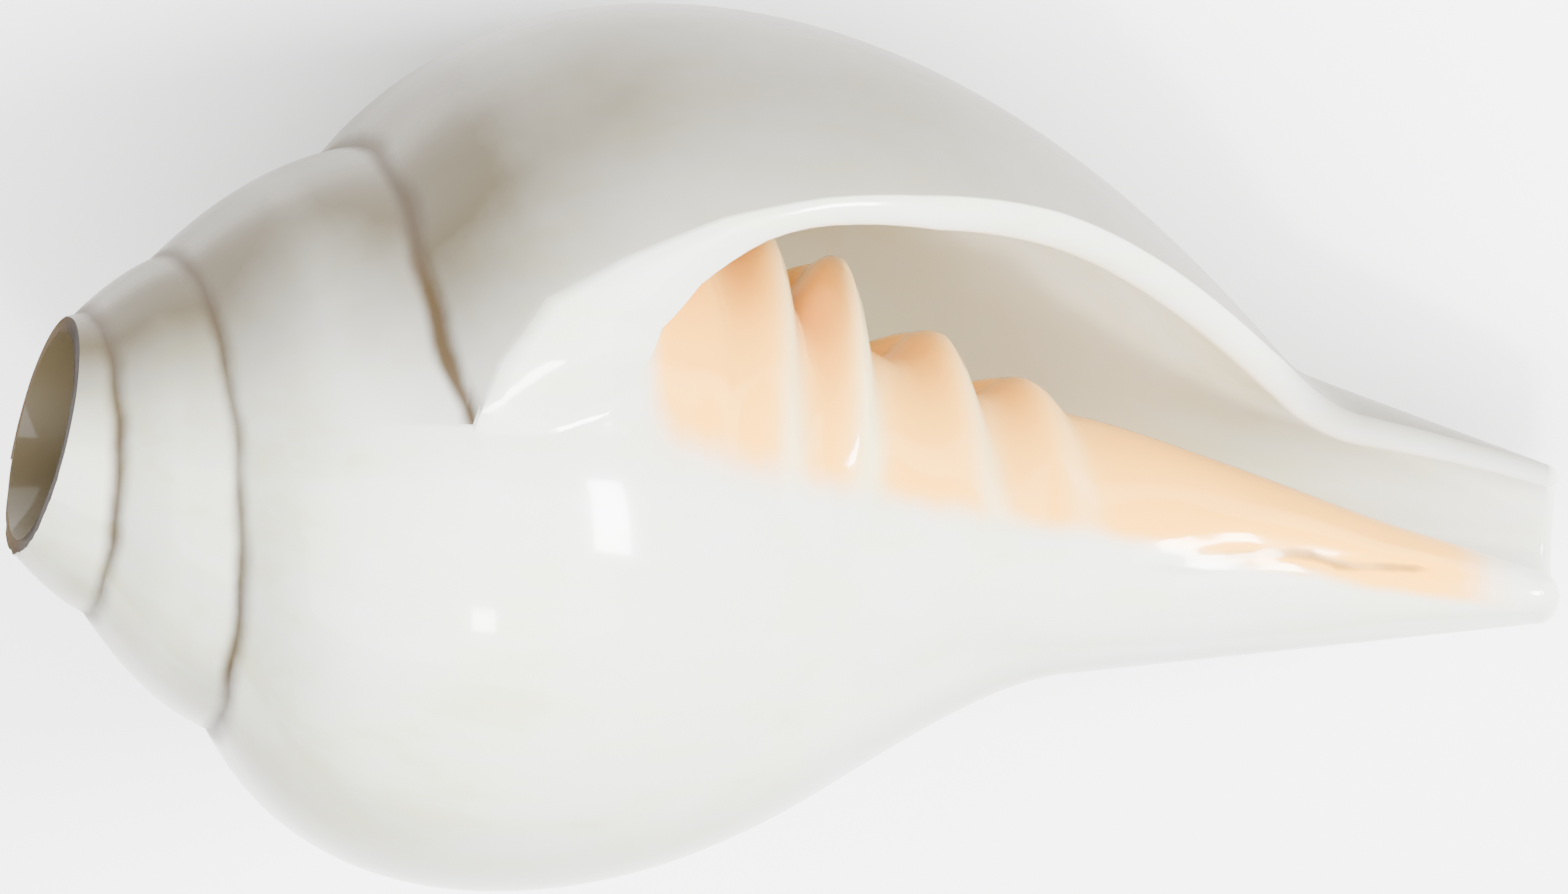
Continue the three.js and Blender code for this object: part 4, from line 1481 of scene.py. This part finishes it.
@dataclass
class Conch:
    """The whole shell as one piece."""

    whorls: Whorls = field(default_factory=Whorls)
    lip: Lip = field(default_factory=Lip)
    painting: Painting = field(default_factory=Painting)
    opening: Opening = field(default_factory=Opening)
    rest: Rest = field(default_factory=Rest)
    finish: Porcelain = field(default_factory=Porcelain)
    sharp_from: float = 38.0

    def build(self) -> tuple[bpy.types.Object, Array, float]:
        """Builds, opens, places and dresses the shell.

        Returns:
            The finished object, its own frame's origin in the row frame, and its scale.
        """
        surface = ShellSurface(Mesher(self.whorls, self.lip), self.painting)
        shell = mesh_object("conch_shell", surface.all_points(), surface.faces)
        for tint in Tint:
            store(shell.data, tint.value, "POINT", np.concatenate(surface.tints[tint]))
        self.open_apex(shell)
        self.store_places(shell.data)
        origin, scale = self.lay_down(shell.data)
        self.mark_cuts(shell.data)
        shell.data.materials.clear()
        shell.data.materials.append(self.finish.material())
        shell.data.shade_smooth()
        shell.data.set_sharp_from_angle(angle=math.radians(self.sharp_from))
        return shell, origin, scale

    def open_apex(self, shell: bpy.types.Object) -> None:
        """Saws off the apex and bores into the chamber's end.

        Args:
            shell: The uncut shell, in its own frame.
        """
        for cutter in (self.saw(), self.bore()):
            modifier = shell.modifiers.new(cutter.name, "BOOLEAN")
            modifier.operation = "DIFFERENCE"
            modifier.solver = "MANIFOLD"
            modifier.object = cutter
            depsgraph = bpy.context.evaluated_depsgraph_get()
            cut = bpy.data.meshes.new_from_object(shell.evaluated_get(depsgraph))
            shell.modifiers.clear()
            shell.data = cut
            bpy.data.objects.remove(cutter)
        self.clean_rim(shell.data)

    def clean_rim(self, mesh: bpy.types.Mesh) -> None:
        """Merges the slivers along the sawn rim, and tints the rim as the shell beside it.

        Args:
            mesh: The opened mesh, in the shell's own frame.
        """
        cut = self.opening
        editable = bmesh.new()
        editable.from_mesh(mesh)
        near = []
        for vertex in editable.verts:
            plane = cut.along + cut.slant * vertex.co.y
            if abs(vertex.co.x - plane) < cut.rim_snap:
                vertex.co.x = plane
                near.append(vertex)
        bmesh.ops.remove_doubles(editable, verts=near, dist=cut.rim_snap)
        rim = {vertex for vertex in near if vertex.is_valid}
        layers = [editable.verts.layers.float[tint.value] for tint in Tint]
        for vertex in rim:
            beside = [edge.other_vert(vertex) for edge in vertex.link_edges]
            beside = [other for other in beside if other not in rim]
            for layer in layers if beside else ():
                vertex[layer] = sum(other[layer] for other in beside) / len(beside)
        editable.to_mesh(mesh)
        editable.free()

    def saw(self) -> bpy.types.Object:
        """The block that the saw takes away.

        Returns:
            A box whose one face is the sawn plane.
        """
        reach, cut = self.opening.saw_reach, self.opening
        corners = []
        for up in (-reach, reach):
            for side in (-reach, reach):
                corners += [(cut.along + cut.slant * up, up, side), (-reach, up, side)]
        faces = [(4, 6, 2, 0), (3, 7, 5, 1), (2, 3, 1, 0), (5, 7, 6, 4), (1, 5, 4, 0), (6, 7, 3, 2)]
        return mesh_object("saw", np.array(corners), faces)

    def bore(self) -> bpy.types.Object:
        """The tapered plug that the bore takes away.

        Returns:
            A closed cone frustum along the axis.
        """
        cut = self.opening
        angles = np.arange(cut.sides) * 2 * math.pi / cut.sides
        rings = []
        for along in (-cut.lead, cut.depth):
            radius = cut.bore_radius - cut.taper * along
            ring = [np.full(cut.sides, along), cut.lift + radius * np.sin(angles), radius * np.cos(angles)]
            rings.append(np.stack(ring, axis=-1))
        count = cut.sides
        faces = [(i, count + i, count + (i + 1) % count, (i + 1) % count) for i in range(count)]
        faces += [tuple(range(count)), tuple(range(count, 2 * count))[::-1]]
        return mesh_object("bore", np.concatenate(rings), faces)

    def mark_cuts(self, mesh: bpy.types.Mesh) -> None:
        """Marks the faces that the bore and the saw have cut.

        Args:
            mesh: The opened mesh.
        """
        cut = self.opening
        places = np.zeros(len(mesh.vertices) * 3, np.float32)
        mesh.attributes["shell_mm"].data.foreach_get("vector", places)
        along, up, front = places.reshape(-1, 3).T
        wall = cut.bore_radius - cut.taper * along
        bored = (np.hypot(up - cut.lift, front) < wall + cut.touch) & (along < cut.depth + cut.touch)
        sawn = np.abs(along - cut.along - cut.slant * up) < cut.touch
        for name, whole, part in (("sawn", sawn, sawn), ("bored", bored | sawn, bored & ~sawn)):
            corners = [list(face.vertices) for face in mesh.polygons]
            marks = [whole[face].all() and part[face].any() for face in corners]
            store(mesh, name, "FACE", np.array(marks))

    @staticmethod
    def store_places(mesh: bpy.types.Mesh) -> None:
        """Stores each vertex's place in the shell's own frame, for the material."""
        places = mesh.attributes.new("shell_mm", "FLOAT_VECTOR", "POINT")
        places.data.foreach_set("vector", vertex_places(mesh).ravel())

    def lay_down(self, mesh: bpy.types.Mesh) -> tuple[Array, float]:
        """Turns the mesh to its resting pose and fits it in the solid's box.

        Args:
            mesh: The mesh, in the shell's own frame and millimetres.

        Returns:
            Where the shell frame's origin comes to lie, and the scale.
        """
        points = vertex_places(mesh) @ self.rest.turning().T * MM
        floor = points[:, 2].min() + self.rest.flat * MM
        points[:, 2] = np.maximum(points[:, 2], floor)
        low, high = points.min(0), points.max(0)
        room = np.array(CAD_BOX[1]) - np.array(CAD_BOX[0])
        scale = min(1.0, float((room / (high - low)).min()))
        LOG.info("the fine mesh is scaled by %.4f to fit the solid's box", scale)
        middle = (low + high) / 2
        target = (np.array(CAD_BOX[0]) + np.array(CAD_BOX[1])) / 2
        lift = CAD_BOX[0][2] - (low[2] - middle[2]) * scale
        shift = np.array([target[0], target[1], lift]) - middle * scale
        points = points * scale + shift
        mesh.vertices.foreach_set("co", points.astype(np.float32).ravel())
        mesh.update()
        return shift, scale


@dataclass(frozen=True)
class SoftBox:
    """A rectangular soft light, placed by its angles from the camera's line of sight."""

    name: str
    side: float
    rise: float
    width: float
    height: float
    power: float
    distance: float = 1.2
    colour: tuple[float, float, float] = (1.0, 1.0, 1.0)


@dataclass
class Studio:
    """The floor, the soft light and the camera of the photograph."""

    rest: Rest = field(default_factory=Rest)
    tilt: float = 4.0
    turned: float = 14.0
    view_width: float = 149.33
    look_right: float = 70.67
    look_deep: float = -17.0
    distance: float = 3000.0
    sensor: float = 36.0
    sees_to: float = 20.0
    floor_half: float = 3.0
    floor_colour: Colour = (0.95, 0.95, 0.95, 1)
    floor_roughness: float = 0.9
    light_centre: float = 0.04
    lights: tuple[SoftBox, ...] = (
        SoftBox("front", side=-6, rise=-22, width=3.0, height=1.3, power=124),
        SoftBox("window", side=46, rise=-1, width=0.16, height=0.42, power=48),
        SoftBox("low_window", side=11, rise=-36, width=0.18, height=0.14, power=13),
    )
    sky_colour: Colour = (1.0, 1.0, 1.0, 1)
    sky_strength: float = 0.05

    def build(self, origin: Array, scale: float) -> None:
        """Builds the floor, the camera and every light.

        Args:
            origin: The shell frame's origin in the row frame, in metres.
            scale: The shell's scale.
        """
        self.add_floor()
        self.add_camera(origin, scale)
        for light in self.lights:
            self.add_light(light)
            LOG.info("light %s: %g W", light.name, light.power)
        self.add_sky()

    def camera_axes(self) -> Array:
        """The camera's right, up and backward directions in the row frame.

        Returns:
            Three rows of unit vectors.
        """
        tilt, turned = math.radians(self.tilt), math.radians(self.turned)
        right = (math.cos(turned) * math.cos(tilt), math.sin(tilt), math.sin(turned) * math.cos(tilt))
        up = (-math.cos(turned) * math.sin(tilt), math.cos(tilt), -math.sin(turned) * math.sin(tilt))
        back = (-math.sin(turned), 0.0, math.cos(turned))
        return np.array([right, up, back]) @ self.rest.turning().T

    def add_camera(self, origin: Array, scale: float) -> None:
        """Places the camera at the photograph's viewing angle.

        Args:
            origin: The shell frame's origin in the row frame, in metres.
            scale: The shell's scale.
        """
        right, up, back = self.camera_axes()
        target = origin + MM * scale * (right * self.look_right + back * self.look_deep)
        data = bpy.data.cameras.new("photo_camera")
        data.sensor_width = self.sensor
        data.lens = self.sensor * self.distance / (self.view_width * scale)
        data.clip_end = self.sees_to
        camera = bpy.data.objects.new("photo_camera", data)
        turn = Matrix(np.array([right, up, back]).tolist()).transposed().to_4x4()
        place = Vector((target + back * self.distance * MM).tolist())
        camera.matrix_world = Matrix.Translation(place) @ turn
        bpy.context.scene.collection.objects.link(camera)
        bpy.context.scene.camera = camera

    def add_floor(self) -> None:
        """A plain pale floor under the shell."""
        half = self.floor_half
        corners = np.array([(-half, -half, 0), (half, -half, 0), (half, half, 0), (-half, half, 0)])
        floor = mesh_object("floor", corners, [(0, 1, 2, 3)])
        graph = Graph("pale_floor")
        inputs = {"Base Color": self.floor_colour, "Roughness": self.floor_roughness}
        floor.data.materials.append(graph.finish(graph.node("ShaderNodeBsdfPrincipled", {}, inputs)))

    def add_light(self, light: SoftBox) -> None:
        """Places a soft box that looks at the shell.

        Args:
            light: The soft box.
        """
        right, up, back = self.camera_axes()
        side, rise = math.radians(light.side), math.radians(light.rise)
        towards = back * math.cos(rise) * math.cos(side)
        towards = towards + right * math.cos(rise) * math.sin(side) + up * math.sin(rise)
        data = bpy.data.lights.new(light.name, "AREA")
        data.shape = "RECTANGLE"
        data.size, data.size_y = light.width, light.height
        data.energy = light.power
        data.color = light.colour
        lamp = bpy.data.objects.new(light.name, data)
        centre = Vector((0, 0, self.light_centre))
        lamp.location = Vector((towards * light.distance).tolist()) + centre
        across = np.cross(up, towards)
        across /= np.linalg.norm(across)
        turn = np.array([across, np.cross(towards, across), towards])
        lamp.rotation_euler = Matrix(turn.tolist()).transposed().to_euler()
        bpy.context.scene.collection.objects.link(lamp)

    def add_sky(self) -> None:
        """Even light from all round."""
        world = bpy.data.worlds.new("even_light")
        world.use_nodes = True
        background = world.node_tree.nodes["Background"]
        background.inputs["Color"].default_value = self.sky_colour
        background.inputs["Strength"].default_value = self.sky_strength
        bpy.context.scene.world = world


def main() -> None:
    """Builds the shell and the studio, and reports each piece."""
    shell, origin, scale = Conch().build()
    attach(shell, "root")
    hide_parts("shell")
    LOG.info("%s: %d vertices, %d faces", shell.name, len(shell.data.vertices), len(shell.data.polygons))
    Studio().build(origin, scale)


if __name__ == "__main__":
    logging.basicConfig(level=logging.INFO)
    main()
